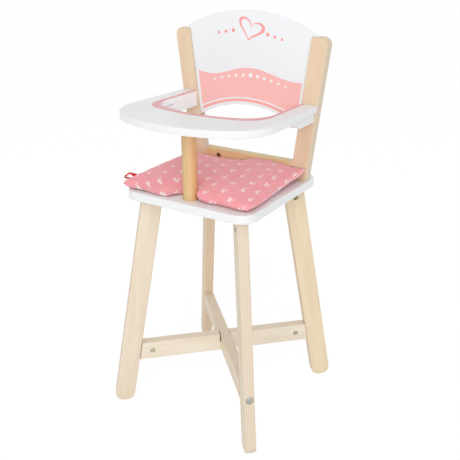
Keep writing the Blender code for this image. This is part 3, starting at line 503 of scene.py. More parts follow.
# Painted light by facing: a darker, warmer filter on the right and back, a slightly darker one on the lit
# left and front.
POST_SIDE_PAINTED_SHADE = (
    ((0.84, 0.54, 0), 0.15, 0.75, (249, 235, 214)),
    ((-0.84, -0.54, 0), -0.05, 0.45, (238, 244, 237)),
)


def beech(name):
    """Beech whose grain runs straight up."""
    wood = Recipe(name, roughness=0.45)
    ways = wood.split(wood.place)
    figure = wood.stretched_noise(ways, BEECH_FIGURE_SCALES, detail=3)
    streaks = wood.stretched_noise(ways, BEECH_STREAK_SCALES, detail=2)
    flecks = wood.ramp(wood.stretched_noise(ways, BEECH_FLECK_SCALES, detail=1), 0.62, 0.74)
    tone = wood.weighed((wood.ramp(figure, 0.3, 0.7), 0.5), (streaks, 0.5))
    base = wood.mix(tone, BEECH_LIGHT, BEECH_DARK)
    # Painted shade by the way the surface faces.
    for direction, start, end, filter_colour in POST_SIDE_PAINTED_SHADE:
        side_shade_mask = wood.ramp(wood.dot(wood.normal, direction), start, end)
        base = wood.mix(side_shade_mask, base, wood.tint(base, filter_colour))
    wood.color(wood.mix(wood.math("MULTIPLY", flecks, BEECH_FLECK_STRENGTH), base, BEECH_FLECK))
    wood.rough(streaks, 0.36, 0.50)
    wood.bump(wood.math("SUBTRACT", streaks, flecks), BEECH_RELIEF)
    return wood


dress(nodes["crotch_post"], beech("beech post"))
post_low, post_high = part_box("crotch_post")
print("post is", round((post_high - post_low).z / MM), "millimetres long")

# %% [markdown]
# The seat, the tray and its two blocks are sprayed with white lacquer. A sprayed film is never quite
# even: it has a very shallow ripple, and over wood the grain just shows through when light rakes it. The
# inside of the tray's left arm is whitened with painted light, against the pink light that the cushion
# throws on it.

# %% White lacquer
LACQUER_WHITE = seen(234, 235, 236)
PANEL_WHITE = seen(236, 240, 242)
# Painted light that whitens the inside of the tray's left arm.
INNER_ARM_PAINTED_LIGHT = seen(244, 255, 255)
INNER_ARM_LIGHT_FADE = (-80 * MM, -70 * MM)
FROM_THE_LEFT = (1, 0, 0)
RIPPLE_SCALE = 420
HIDDEN_GRAIN_SCALES = (22, 420, 420)
HIDDEN_GRAIN_STRENGTH = 0.6
LACQUER_RELIEF = 0.03 * MM


def white_lacquer(name, grain, colour=LACQUER_WHITE, painted_light_facing=None):
    """Lacquer over wood with this grain, with painted light that whitens left-hand faces that face this way.
    """
    paint = Recipe(name, roughness=0.34)
    grain = Vector(grain).normalized()
    across = Vector((0, 0, 1)).cross(grain) if abs(grain.z) < 0.5 else Vector((1, 0, 0))
    ways = [paint.dot(paint.place, way) for way in (grain, across, grain.cross(across))]
    ripple = paint.noise(paint.place, scale=RIPPLE_SCALE, detail=1)
    hidden_grain = paint.stretched_noise(ways, HIDDEN_GRAIN_SCALES, detail=2)
    if painted_light_facing:
        facing = paint.ramp(paint.dot(paint.normal, painted_light_facing), 0.7, 0.9)
        beyond = paint.ramp(paint.dot(paint.place, painted_light_facing), *INNER_ARM_LIGHT_FADE)
        inner = paint.math("MULTIPLY", facing, paint.math("SUBTRACT", 1.0, beyond))
        colour = paint.mix(inner, colour, INNER_ARM_PAINTED_LIGHT)
    paint.color(colour)
    paint.rough(ripple, 0.28, 0.42)
    paint.bump(paint.weighed((hidden_grain, HIDDEN_GRAIN_STRENGTH), (ripple, 1.0)), LACQUER_RELIEF)
    return paint


# The tray board and the left block get painted light on the inside of the left arm.
for node, grain, painted_light_facing in (
        ("seat_board", (1, 0, 0), None), ("tray_board", (1, 0, 0), FROM_THE_LEFT),
        ("tray_left_cheek", (0, 1, 0), FROM_THE_LEFT), ("tray_right_cheek", (0, 1, 0), None)):
    dress(nodes[node], white_lacquer(f"white lacquer {node}", grain, painted_light_facing=painted_light_facing))
dress(nodes["back_panel"], white_lacquer("white lacquer back_panel", (0, 0, 1), PANEL_WHITE))

# %% [markdown]
# The bolts, screws and inserts have bright zinc plating, and the barrel nuts a yellow one. The nuts'
# plating is also darkened with painted shade, for the holes they sit in, and on the nuts of the stretchers
# it is a paler copy with less painted shade. They are tiny, so their look is mostly clean reflection, and
# the soft spangle of the plating breaks it.

# %% Zinc hardware
# The two nut tones are one yellow plating with painted shade: deep for nuts in shaded holes, lighter for the
# stretchers' nuts.
BRIGHT_ZINC = ((192, 194, 190), (170, 172, 168))
NUT_ZINC_DEEP_SHADE = ((150, 138, 104), (118, 106, 76))
NUT_ZINC_LIGHT_SHADE = ((205, 200, 172), (176, 170, 136))
SPANGLE_SCALE = 900
PITTING_SCALE = 4000
ZINC_RELIEF = 0.01 * MM


def zinc(name, light, dark):
    """Plated metal, mottled between two tones."""
    metal = Recipe(name, roughness=0.3, metallic=1)
    spangle = metal.noise(metal.place, scale=SPANGLE_SCALE, detail=2)
    metal.color(metal.mix(metal.ramp(spangle, 0.35, 0.65), seen(*light), seen(*dark)))
    metal.rough(spangle, 0.22, 0.38)
    metal.bump(metal.noise(metal.place, scale=PITTING_SCALE, detail=1), ZINC_RELIEF)
    return metal


bright_plating = zinc("bright zinc", *BRIGHT_ZINC)
shaded_nut_plating = zinc("yellow zinc", *NUT_ZINC_DEEP_SHADE)
lightly_shaded_nut_plating = zinc("pale yellow zinc", *NUT_ZINC_LIGHT_SHADE)
hardware = [name for name in nodes if name.endswith(("_bolt", "_nut", "_insert", "_screw"))]
# Nuts get yellow plating with painted shade, and the stretchers' nuts the lighter copy.
for name in hardware:
    nut_plating = lightly_shaded_nut_plating if "stretcher" in name else shaded_nut_plating
    dress(nodes[name], nut_plating if name.endswith("_nut") else bright_plating)
print("zinc pieces:", len(hardware))

# %% [markdown]
# The pink decoration is screen-printed, in a few flat inks. An ink is one colour, broken only by faint
# differences in how thick its film lies and in how it takes the light.

# %% Inks
INKS = {
    "pink": (248, 189, 185), "coral": (247, 161, 156), "stripe": (248, 173, 167),
    "tray": (230, 167, 171), "white": (246, 246, 247),
}
INK_SHADE = 0.97
INK_RELIEF = 0.02 * MM


def ink(name, colour):
    """A flat ink, a little darker where its film is thin."""
    paint = Recipe(name, roughness=0.4)
    shade = [value * INK_SHADE for value in colour[:3]]
    paint.color(paint.mix(paint.noise(paint.place, scale=160, detail=2), colour, (*shade, 1)))
    paint.rough(paint.noise(paint.place, scale=500, detail=1), 0.34, 0.46)
    paint.bump(paint.noise(paint.place, scale=900, detail=1), INK_RELIEF)
    return paint


inks = {name: ink(f"{name} ink", seen(*colour)) for name, colour in INKS.items()}
print("inks:", list(inks))

# %% [markdown]
# Most pieces that we add are built from rings of points with faces between them. These helpers lay the
# faces from one ring to the next, close a row of rings into a solid, and turn the finished geometry into
# a smooth piece that rides on a body of the chair.

# %% Helpers for geometry
SHARP_ANGLE = math.radians(40)


def bridge(mesh, first, second):
    """Faces between two rings with the same number of points."""
    for index in range(len(first)):
        after = (index + 1) % len(first)
        mesh.faces.new((first[index], second[index], second[after], first[after]))


def close_rings(mesh, rings):
    """Faces from each ring to the next, and one over either end."""
    for first, second in zip(rings, rings[1:]):
        bridge(mesh, first, second)
    mesh.faces.new(rings[0])
    mesh.faces.new(rings[-1])


def place_mesh(name, mesh, body, recipe):
    """Turns finished geometry into a smooth piece that rides on a body of the chair."""
    bmesh.ops.recalc_face_normals(mesh, faces=mesh.faces)
    data = bpy.data.meshes.new(name)
    mesh.to_mesh(data)
    mesh.free()
    data.shade_smooth()
    data.set_sharp_from_angle(angle=SHARP_ANGLE)
    piece = bpy.data.objects.new(name, data)
    bpy.context.scene.collection.objects.link(piece)
    dress(piece, recipe)
    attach(piece, body)
    return piece


print("edges stay sharp from", round(math.degrees(SHARP_ANGLE)), "degrees")

# %% [markdown]
# A printed film has a real, if tiny, thickness and a crisp edge. It could be painted in the shader, but
# thin solids keep the edge sharp at any distance and can be drawn with plain arcs and waves. Each film is
# an outline on the panel's face, sunk a little into the lacquer so that only its top stands proud.

# %% Printed films
FILM_RISE = 0.06 * MM
FILM_SINK = 0.20 * MM
PANEL_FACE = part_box("back_panel")[0].y
FILM_FRONT = PANEL_FACE - FILM_RISE
FILM_BACK = PANEL_FACE + FILM_SINK


def fill_prism(mesh, outline, front, back):
    """Adds a closed plate: the outline is (x, z), from one y to another."""
    near = [mesh.verts.new((x, front, z)) for x, z in outline]
    far = [mesh.verts.new((x, back, z)) for x, z in outline]
    mesh.faces.new(near)
    mesh.faces.new(list(reversed(far)))
    bridge(mesh, near, far)


def print_on_panel(name, outlines, recipe, level=1):
    """Prints outlines on the panel's front: a higher level lies on top of the films below it."""
    mesh = bmesh.new()
    for outline in outlines:
        fill_prism(mesh, outline, PANEL_FACE - FILM_RISE * level, FILM_BACK)
    return place_mesh(name, mesh, "chair", recipe)


print("a film stands", FILM_RISE / MM, "millimetres proud")

# %% [markdown]
# The main band follows three rules. Its lower edge is an arc, parallel to the arch that is cut in the
# panel's foot. Its sides lean out with the posts. Its upper edge is a wave, with its crest near the
# middle and a trough near each side. A narrow stripe repeats the arc below it. Some sizes differ between
# the chair's halves, and those are looked up by half: minus one is left and one is right, as X runs.

# %% Band and stripe
LEFT, RIGHT = -1, 1
SPLAY = math.tan(math.radians(7.2))
BAND_HALF_WIDTH = 84.7 * MM
BAND_WIDTH_HEIGHT = 478 * MM
WAVE_LEVEL = 486.4 * MM
WAVE_RISE = 6.6 * MM
WAVE_CREST_SHIFT = 3.5 * MM
WAVE_HALF_LENGTH = {LEFT: 68 * MM, RIGHT: 73 * MM}
ARCH_RADIUS = 160 * MM
ARCH_CREST = 440.5 * MM
STRIPE_START = 4.3 * MM
STRIPE_END = 8.3 * MM
BAND_START = 10.5 * MM
ARC_ROUNDS = 20
arch_centre = ARCH_CREST - ARCH_RADIUS


def half_of(x):
    """The half of the chair in which a place lies."""
    return RIGHT if x > 0 else LEFT


def side_at(height):
    """Half the print's width at a height: its sides are parallel to the posts."""
    return BAND_HALF_WIDTH + (height - BAND_WIDTH_HEIGHT) * SPLAY


def arch_arc(offset, steps=48):
    """An arc parallel to the panel's arch, from the print's left side to its right side."""
    radius = ARCH_RADIUS + offset
    height = ARCH_CREST
    for _ in range(ARC_ROUNDS):  # each round brings the arc's end closer to the leaning side
        height = arch_centre + math.sqrt(radius ** 2 - side_at(height) ** 2)
    swing = math.asin(side_at(height) / radius)
    angles = [swing * (2 * step / steps - 1) for step in range(steps + 1)]
    return [(radius * math.sin(a), arch_centre + radius * math.cos(a)) for a in angles]


def wave_top(steps=64):
    """The band's upper edge, from right to left."""
    points = []
    for step in range(steps + 1):
        share = 1 - 2 * step / steps
        x = share * side_at(WAVE_LEVEL - WAVE_RISE)
        run = x - WAVE_CREST_SHIFT
        half_length = WAVE_HALF_LENGTH[half_of(run)]
        points.append((x, WAVE_LEVEL + WAVE_RISE * math.cos(math.pi * run / half_length)))
    return points


print_on_panel("print_band", [arch_arc(BAND_START) + wave_top()], inks["pink"])
print_on_panel("print_stripe", [arch_arc(STRIPE_START) + arch_arc(STRIPE_END)[::-1]], inks["stripe"])
print("band is", round(2 * side_at(WAVE_LEVEL) / MM), "millimetres wide")

# %% [markdown]
# A row of white dots follows the wave on the band, largest in the middle, and a row of pink dots points
# to the ornament at the top from either side. Discs are the simplest outline there is, so both rows come
# from one loop each.

# %% Dots
WHITE_DOT_MIDDLE = 3.8 * MM
WHITE_DOT_SPACING = {LEFT: 12.0 * MM, RIGHT: 11.24 * MM}
WHITE_DOT_LEVEL = 483 * MM
WHITE_DOT_DROP = 10.4 * MM
WHITE_DOT_BEND = 1.5
WHITE_DOT_RADII = [value * MM for value in (3.1, 2.3, 2.1, 2.0, 1.9, 1.7)]
PINK_DOTS = (
    (-48.6, 538.2, 2.0), (-36.9, 540.3, 2.4), (-24.6, 542.4, 2.8),
    (30.4, 539.9, 2.7), (41.4, 537.3, 2.3), (52.6, 534.8, 1.9),
)


def disc(x, z, radius, sides=28):
    """A round outline."""
    angles = [2 * math.pi * step / sides for step in range(sides)]
    return [(x + radius * math.cos(a), z + radius * math.sin(a)) for a in angles]


white_dots = []
last = len(WHITE_DOT_RADII) - 1
for index in range(-last, last + 1):
    drop = WHITE_DOT_DROP * (abs(index) / last) ** WHITE_DOT_BEND
    x = WHITE_DOT_MIDDLE + index * WHITE_DOT_SPACING[half_of(index)]
    white_dots.append(disc(x, WHITE_DOT_LEVEL - drop, WHITE_DOT_RADII[abs(index)]))
print_on_panel("print_white_dots", white_dots, inks["white"], level=2)
pink_dots = [disc(x * MM, z * MM, radius * MM) for x, z, radius in PINK_DOTS]
print_on_panel("print_pink_dots", pink_dots, inks["coral"])
print("dots:", len(white_dots), "white and", len(pink_dots), "pink")

# %% [markdown]
# Between the pink dots stands a plain outline heart, leaning a little to the right. A heart is a classic
# curve: three cosines and a cubed sine. The stroke is the gap between that curve and a smaller copy with a
# deeper cleft, so it swells and thins as a brush line does.

# %% Heart
HEART_CENTRE = Vector((3.7, 545.2)) * MM
HEART_UNIT = Vector((1.33, 0.962)) * MM
HEART_LEAN = math.radians(-16)
HEART_CLEFTS = {1.0: 1.8, 0.79: 3.0}
HEART_INNER_SHIFT = Vector((-0.5, -0.2)) * MM
HEART_STEPS = 96


def heart_point(angle, share):
    """A point on the heart at this share of its full size."""
    x = 16 * math.sin(angle) ** 3
    z = 13 * math.cos(angle) - (5 + HEART_CLEFTS[share]) * math.cos(2 * angle)
    z -= 2 * math.cos(3 * angle) + math.cos(4 * angle)
    flat = Vector((x * HEART_UNIT.x, (z + 1) * HEART_UNIT.y)) * share
    if share < 1:
        flat += HEART_INNER_SHIFT
    return HEART_CENTRE + flat @ Matrix.Rotation(-HEART_LEAN, 2)


heart = bmesh.new()
rings = []
for share in HEART_CLEFTS:
    for y in (FILM_FRONT, FILM_BACK):
        ring = []
        for step in range(HEART_STEPS):
            x, z = heart_point(2 * math.pi * step / HEART_STEPS, share)
            ring.append(heart.verts.new((x, y, z)))
        rings.append(ring)
outer_front, outer_back, inner_front, inner_back = rings
for first, second in ((outer_front, outer_back), (outer_back, inner_back),
                      (inner_back, inner_front), (inner_front, outer_front)):
    bridge(heart, first, second)
heart_piece = place_mesh("print_heart", heart, "chair", inks["coral"])
print("heart is", round(heart_piece.dimensions.x / MM), "millimetres wide")

# %% [markdown]
# The tray has a pink line round its opening: narrow along the arms and wider across the front. Its inner
# edge wraps over the rounded rim, so the film is swept with a small profile that follows the rim first
# and then lies flat. Both edges are the same kind of curve as the tray itself: straight down the arm,
# round a corner, and along a bowed front. How far they reach is measured from a line just behind the
# frame's middle.

# %% Tray line
tray_low, tray_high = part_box("tray_board")
TRAY_ZERO = 1.99 * MM
LINE_SIZES = {"rim": (86.5, 60.5, 200, 44), "outer": (91.8, 70.3, 250, 36)}
RIM_PROFILE = ((0.10, -0.75), (0.30, -0.30), (0.75, -0.06), (1.25, 0.06))
HOOK = (0.75, -0.9)


def tray_line(half_width, front_reach, front_radius, corner_radius, steps=28):
    """A U-shaped line from the right post round the front to the left post."""
    front_centre = TRAY_ZERO - front_reach + front_radius
    span = front_radius - corner_radius
    corner_x = half_width - corner_radius
    corner_y = front_centre - math.sqrt(span ** 2 - corner_x ** 2)
    turn = math.atan2(corner_y - front_centre, corner_x)
    arm = tray_high.y
    half = [Vector((half_width, arm + (corner_y - arm) * step / steps)) for step in range(steps)]
    for step in range(steps + 1):
        angle = turn * step / steps
        half.append(Vector((
            corner_x + corner_radius * math.cos(angle), corner_y + corner_radius * math.sin(angle)
        )))
    for step in range(1, steps + 1):
        angle = turn + (-math.pi / 2 - turn) * step / steps
        half.append(Vector((
            front_radius * math.cos(angle), front_centre + front_radius * math.sin(angle)
        )))
    return half + [Vector((-point.x, point.y)) for point in reversed(half[:-1])]


rim_line, outer_line = (tray_line(*(size * MM for size in sizes)) for sizes in LINE_SIZES.values())
tray_film = bmesh.new()
sections = []
for inner, outer in zip(rim_line, outer_line):
    outward = (outer - inner).normalized()
    on_rim = [
        (*(inner + outward * away * MM), tray_high.z + rise * MM) for away, rise in (*RIM_PROFILE, HOOK)
    ]
    flat = [(*outer, tray_high.z + FILM_RISE), (*outer, tray_high.z - FILM_SINK)]
    sections.append([tray_film.verts.new(point) for point in on_rim[:-1] + flat + on_rim[-1:]])
close_rings(tray_film, sections)
place_mesh("print_tray_line", tray_film, "chair", inks["tray"])
print("tray line runs past", len(sections), "stations")

# %% [markdown]
# The wedge blocks are glued under the tray arms before the spraying, so paint bridges the joint on the
# inside of each arm. The bridge is a slim bead that fills the groove between the arm's rounded lower
# edge and the block. It stops short of the block's nose, where the joint stays open as a short dark line.

# %% Paint beads
BEAD_DEPTH = 1.6 * MM
BEAD_INSET = 0.05 * MM
BEAD_OVERLAP = 0.3 * MM
OPEN_JOINT = 17 * MM
RIM_ROUNDING = 1.2 * MM
BEAD_TIP = 2 * MM
BEAD_TIP_SHARE = 0.3


def paint_bead(mesh, cheek, side):
    """A bead along one joint, flush with the inner face of the arm and thin at its front end."""
    low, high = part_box(cheek)
    flush = (high.x if side < 0 else low.x) + side * BEAD_INSET
    deep = flush + side * BEAD_DEPTH
    bottom = high.z - BEAD_OVERLAP
    top = tray_low.z + RIM_ROUNDING
    middle = (bottom + top) / 2
    section = ((flush, bottom), (flush, top), (deep, tray_low.z + BEAD_OVERLAP), (deep, bottom))
    front, back = low.y + OPEN_JOINT, high.y - BEAD_INSET
    rings = []
    for y, share in ((front - BEAD_TIP, BEAD_TIP_SHARE), (front, 1), (back, 1)):
        rings.append([mesh.verts.new((x, y, middle + (z - middle) * share)) for x, z in section])
    close_rings(mesh, rings)


beads = bmesh.new()
paint_bead(beads, "tray_left_cheek", LEFT)
paint_bead(beads, "tray_right_cheek", RIGHT)
# The left bead gets the same painted light on the inside of the arm.
bead_paint = white_lacquer("white lacquer bead", (0, 1, 0), painted_light_facing=FROM_THE_LEFT)
bead_piece = place_mesh("tray_paint_beads", beads, "chair", bead_paint)
print("beads run for", round(bead_piece.dimensions.y / MM), "millimetres")

# %% [markdown]
# Now the soft work. The cushion is two panels of cotton sewn together all round, turned and stuffed,
# with a slit that lets it lie round the post. We draw its plan once, as a grid that runs from the slit to
# the side seam and from front to back, on both halves. The grid's rim is the seam. The cushion was pulled
# straight round the post, so the slit gapes on the left and hugs the post on the right.

# %% Plan of the cushion
seat_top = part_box("seat_board")[1].z
cushion_low, cushion_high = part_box("cushion")
cushion_front, cushion_rear = cushion_low.y, cushion_high.y
POST_AXIS = Vector(((post_low.x + post_high.x) / 2, (post_low.y + post_high.y) / 2))
POST_RADIUS = (post_high.x - post_low.x) / 2
CLEARANCE = 0.4 * MM
rest_height = seat_top + CLEARANCE
SIDE_DRAW = {LEFT: 3.5 * MM, RIGHT: 3 * MM}
FRONT_DRAW = 3 * MM
FRONT_DRAW_FADE = 3
FRONT_PUSH = {LEFT: 4.5 * MM, RIGHT: 0}
LOBE_ROUNDING = {LEFT: 4 * MM, RIGHT: 9 * MM}
LOBE_CORNER_SHARE = 0.25
FRONT_CORNER_ROUNDING = {LEFT: 4 * MM, RIGHT: 6 * MM}
FRONT_CORNER_SHARE = 0.22
FRONT_CORNER_FADE = 4
SLIT_DEPTH = 30 * MM
SLIT_REACH = {LEFT: 29 * MM, RIGHT: 12 * MM}
SLIT_BEND = {LEFT: 1.6, RIGHT: 1.0}
NOTCH_DEPTH = 3 * MM
NOTCH_FADE = 6
NOTCH_HALF_WIDTH = 10 * MM


def plan_point(side, share, along):
    """A place in the plan and its distances from the side, front, back and slit seams."""
    behind = (cushion_rear - cushion_front) * along
    slit_left = max(0, 1 - behind / SLIT_DEPTH)
    inside = SLIT_REACH[side] * max(0, 1 - (behind / SLIT_DEPTH) ** SLIT_BEND[side])
    outside = abs(cushion_high.x if side > 0 else cushion_low.x)
    edge = outside - SIDE_DRAW[side] * math.sin(math.pi * along)
    reach = inside + (edge - inside) * share
    bow = FRONT_DRAW * math.sin(math.pi * share) * (1 - along) ** FRONT_DRAW_FADE
    bow -= FRONT_PUSH[side] * slit_left
    bow += LOBE_ROUNDING[side] * max(0, 1 - share / LOBE_CORNER_SHARE) ** 2 * slit_left
    corner = max(0, 1 - (1 - share) / FRONT_CORNER_SHARE) ** 2
    bow += FRONT_CORNER_ROUNDING[side] * corner * (1 - along) ** FRONT_CORNER_FADE
    notch = NOTCH_DEPTH * max(0, 1 - reach / NOTCH_HALF_WIDTH)
    y = cushion_front + behind + bow - notch * along ** NOTCH_FADE
    from_slit = reach - inside if behind < SLIT_DEPTH else math.hypot(reach, behind - SLIT_DEPTH)
    gaps = (edge - reach, y - cushion_front - bow, cushion_rear - notch - y, from_slit)
    return side * reach, y, gaps


print("cushion plan in millimetres:", [round(size / MM) for size in cushion_high - cushion_low])

# %% [markdown]
# The stuffing decides the height. Near a seam the fabric rises steeply, as a quarter circle, and further
# in it levels out. Combining one such rise for each seam gives a crown that is drawn in at the corners.
# Below, the cushion is flat where it rests. Its back is pushed up against the chair's rail, and more so
# on the right, where the stuffing has gathered. Small lifts curl its front corners and the slit's lips.

# %% Stuffed shape
SEAM_HEIGHT = {LEFT: 1.6 * MM, RIGHT: 5.2 * MM}
CROWN_HEIGHT = {LEFT: 18 * MM, RIGHT: 19.5 * MM}
SIDE_LIFT = {LEFT: 0, RIGHT: 12 * MM}
SIDE_LIFT_START = 30 * MM
SIDE_LIFT_REACH = 30 * MM
BACK_LIFT = {LEFT: 12 * MM, RIGHT: 16.8 * MM}
BACK_CURL = 44 * MM
LIFT_JOIN = 4
CORNER_DROP = 0.36
PUFF_REACH = {LEFT: (17 * MM, 38 * MM, 34 * MM, 58 * MM), RIGHT: (34 * MM, 40 * MM, 34 * MM, 58 * MM)}
UNDER_ROUNDING_SHARE = 2.0
FRONT_LIFT = {LEFT: 0, RIGHT: 2.2 * MM}
FRONT_LIFT_REACH = 18 * MM
CORNER_CURL = {LEFT: 3.8 * MM, RIGHT: 1.4 * MM}
CORNER_CURL_SPREAD = 22 * MM
NOSE_LIFT = {LEFT: 0, RIGHT: 2.2 * MM}
NOSE_LIFT_SPREAD = 16 * MM
SLIT_END_LIFT = 6 * MM
SLIT_END_SPREAD = 20 * MM
FULLNESS_POWER = 0.75
START_FULLNESS = 0.93
MIDDLE_BLEND = 16 * MM


def puffed(distance, reach):
    """A quarter circle, from 0 at the seam to 1 where the fabric levels out."""
    near = min(1, max(0, distance) / reach)
    return math.sqrt(1 - (1 - near) ** 2)


def hump(distance, spread):
    """A soft hump, 1 in its middle."""
    return math.exp(-(distance / spread) ** 2)


def blended(values, x):
    """A value that differs between the halves, with a soft change across the middle."""
    share = 0.5 + 0.5 * math.tanh(x / MIDDLE_BLEND)
    return values[LEFT] + (values[RIGHT] - values[LEFT]) * share


def cushion_layers(x, y, share, gaps, on_seam):
    """Heights of the upper and the lower panel."""
    half = half_of(x)
    rises = [0 if on_seam else puffed(gap, reach) for gap, reach in zip(gaps, PUFF_REACH[half])]
    full = min(rises) ** FULLNESS_POWER * math.prod(rises) ** (1 - FULLNESS_POWER)
    base = rest_height
    start = cushion_front + SIDE_LIFT_START
    climb = min(1, max(0, y - start) / (cushion_rear - start)) ** 2
    side_lift = blended(SIDE_LIFT, x) * climb * hump(gaps[0], SIDE_LIFT_REACH)
    curl = max(0, 1 - gaps[2] / BACK_CURL) ** 2 * (1 - CORNER_DROP * share ** 3)
    back_lift = blended(BACK_LIFT, x) * curl
    lift = (side_lift ** LIFT_JOIN + back_lift ** LIFT_JOIN) ** (1 / LIFT_JOIN)
    seam = base + blended(SEAM_HEIGHT, x) + lift
    seam += SLIT_END_LIFT * hump(math.hypot(x, y - cushion_front - SLIT_DEPTH), SLIT_END_SPREAD)
    seam += blended(FRONT_LIFT, x) * hump(gaps[1], FRONT_LIFT_REACH)
    from_corner = math.hypot(x - (cushion_high.x if x > 0 else cushion_low.x), y - cushion_front)
    seam += CORNER_CURL[half] * hump(from_corner, CORNER_CURL_SPREAD)
    from_nose = math.hypot(x - half * SLIT_REACH[half], y - cushion_front - LOBE_ROUNDING[half])
    seam += NOSE_LIFT[half] * hump(from_nose, NOSE_LIFT_SPREAD)
    top = seam + (base + blended(CROWN_HEIGHT, x) - seam) * full * START_FULLNESS
    under = seam
    if not on_seam:
        under += (base - seam) * puffed(min(gaps), UNDER_ROUNDING_SHARE * (seam - base))
    return max(top, seam), under


crown = rest_height + CROWN_HEIGHT[RIGHT]
print("crown is drawn up to", round(crown / MM, 1), "millimetres above the floor")

# %% [markdown]
# Now the plan and the heights become one closed mesh. The rows and columns of its grid lie close together
# at the seams, where the fabric bends most, and far apart in the middle. Each spot has two points, one in
# either panel, and where they meet on the seam they are merged.

# %% Sewn panels
LOBE_COLUMNS = 30
SLIT_ROWS = 12
FIELD_ROWS = 34
FIELD_START = 0.25
MERGE_DISTANCE = 0.01 * MM


def eased(angle):
    """From 0 to 1 over half a turn, slow at both ends."""
    return (1 - math.cos(angle)) / 2


def cushion_rows():
    """Shares of the depth, close together at the front, at the slit's end and at the back."""
    slit_share = SLIT_DEPTH / (cushion_rear - cushion_front)
    rows = [slit_share * math.sin(math.pi / 2 * step / SLIT_ROWS) for step in range(SLIT_ROWS)]
    start = eased(math.pi * FIELD_START)
    for step in range(FIELD_ROWS + 1):
        swing = eased(math.pi * (FIELD_START + (1 - FIELD_START) * step / FIELD_ROWS))
        rows.append(slit_share + (1 - slit_share) * (swing - start) / (1 - start))
    return rows


def sewn_panels():
    """The whole cushion as one closed mesh, with the numbers of its seam vertices."""
    rows = cushion_rows()
    lobe = [eased(math.pi * step / LOBE_COLUMNS) for step in range(LOBE_COLUMNS + 1)]
    mesh = bmesh.new()
    seam_layer = mesh.verts.layers.int.new("seam")
    for side in (LEFT, RIGHT):
        columns = []
        for column, share in enumerate(lobe):
            points = []
            for row, along in enumerate(rows):
                x, y, gaps = plan_point(side, share, along)
                on_slit = column == 0 and row <= SLIT_ROWS
                on_seam = on_slit or column == LOBE_COLUMNS or row in (0, len(rows) - 1)
                pair = [mesh.verts.new((x, y, z)) for z in cushion_layers(x, y, share, gaps, on_seam)]
                for vert in pair:
                    vert[seam_layer] = int(on_seam)
                points.append(pair)
            columns.append(points)
        for near, far in zip(columns, columns[1:]):
            for row in range(len(rows) - 1):
                for layer in (0, 1):
                    corners = (near[row], far[row], far[row + 1], near[row + 1])
                    if (side < 0) != (layer == 1):
                        corners = corners[::-1]
                    mesh.faces.new([corner[layer] for corner in corners])
    bmesh.ops.remove_doubles(mesh, verts=mesh.verts, dist=MERGE_DISTANCE)
    mesh.verts.index_update()
    seam = [vert.index for vert in mesh.verts if vert[seam_layer]]
    return mesh, seam


cushion_mesh, seam_indices = sewn_panels()
cushion_data = bpy.data.meshes.new("seat_cushion")
cushion_mesh.to_mesh(cushion_data)
cushion_mesh.free()
cushion = bpy.data.objects.new("seat_cushion", cushion_data)
bpy.context.scene.collection.objects.link(cushion)
print("cushion vertices:", len(cushion_data.vertices), "of them on the seam:", len(seam_indices))

# %% [markdown]
# A formula gives an even pillow, and real cotton is livelier: the panels are a little larger than the
# space between the seams, so the stuffing pushes them into soft puckers. That is a job for the cloth
# solver. The seam is held, the fabric is allowed to be three per cent larger than drawn, and air pressure
# stands for the stuffing. Gravity is off, because the stuffing carries the fabric.

# %% Inflate the cushion
CLOTH_FRAMES = 20
CLOTH_PRESSURE = 1.0
CLOTH_SURPLUS = 0.03


def inflate(piece, held):
    """Runs the cloth solver on the piece and keeps the result as its mesh."""
    group = piece.vertex_groups.new(name="seam")
    group.add(held, 1.0, "REPLACE")
    cloth = piece.modifiers.new("stuffing", "CLOTH")
    settings = cloth.settings
    settings.quality = 6
    settings.mass = 0.12
    settings.tension_stiffness = 12
    settings.compression_stiffness = 12
    settings.shear_stiffness = 4
    settings.bending_stiffness = 0.06
    settings.use_pressure = True
    settings.uniform_pressure_force = CLOTH_PRESSURE
    settings.shrink_min = -CLOTH_SURPLUS
    settings.vertex_group_mass = "seam"
    settings.pin_stiffness = 1.0
    settings.effector_weights.gravity = 0
    cloth.collision_settings.use_collision = False
    cloth.collision_settings.use_self_collision = False
    cloth.point_cache.frame_start = 1
    cloth.point_cache.frame_end = CLOTH_FRAMES
    scene = bpy.context.scene
    for step in range(1, CLOTH_FRAMES + 1):
        scene.frame_set(step)
    graph = bpy.context.evaluated_depsgraph_get()
    result = bpy.data.meshes.new_from_object(piece.evaluated_get(graph))
    piece.modifiers.clear()
    piece.data = result
    scene.frame_set(1)


drawn = [vert.co.copy() for vert in cushion.data.vertices]
inflate(cushion, seam_indices)
moved = [(vert.co - start).length for vert, start in zip(cushion.data.vertices, drawn)]
print("furthest move in millimetres:", round(max(moved) / MM, 1))

# %% [markdown]
# The solver knows nothing of the seat, the post or the rail, so we settle the result afterwards. A point
# may move only so far from where it was drawn, the underside rests on the seat, and nothing enters the
# post or the rail. A fold runs back from the end of the slit, where the two lobes pull apart.

# %% Settle the cushion
MOVE_LIMIT = 3.5 * MM
UNDER_LIMIT = 0.8 * MM
TOP_LIMIT = 367 * MM
FOLD_POINTS = ((8, -66), (13, -47), (18, -25), (25, 5))
FOLD_DEPTH = 2.2 * MM
FOLD_WIDTH = 4.5 * MM
LUMP_DEPTH = 0.7 * MM
LUMP_SCALE = 38


def soft_limit(value, limit):
    """Small values stay as they are, and large ones approach the limit."""
    return limit * math.tanh(value / limit)


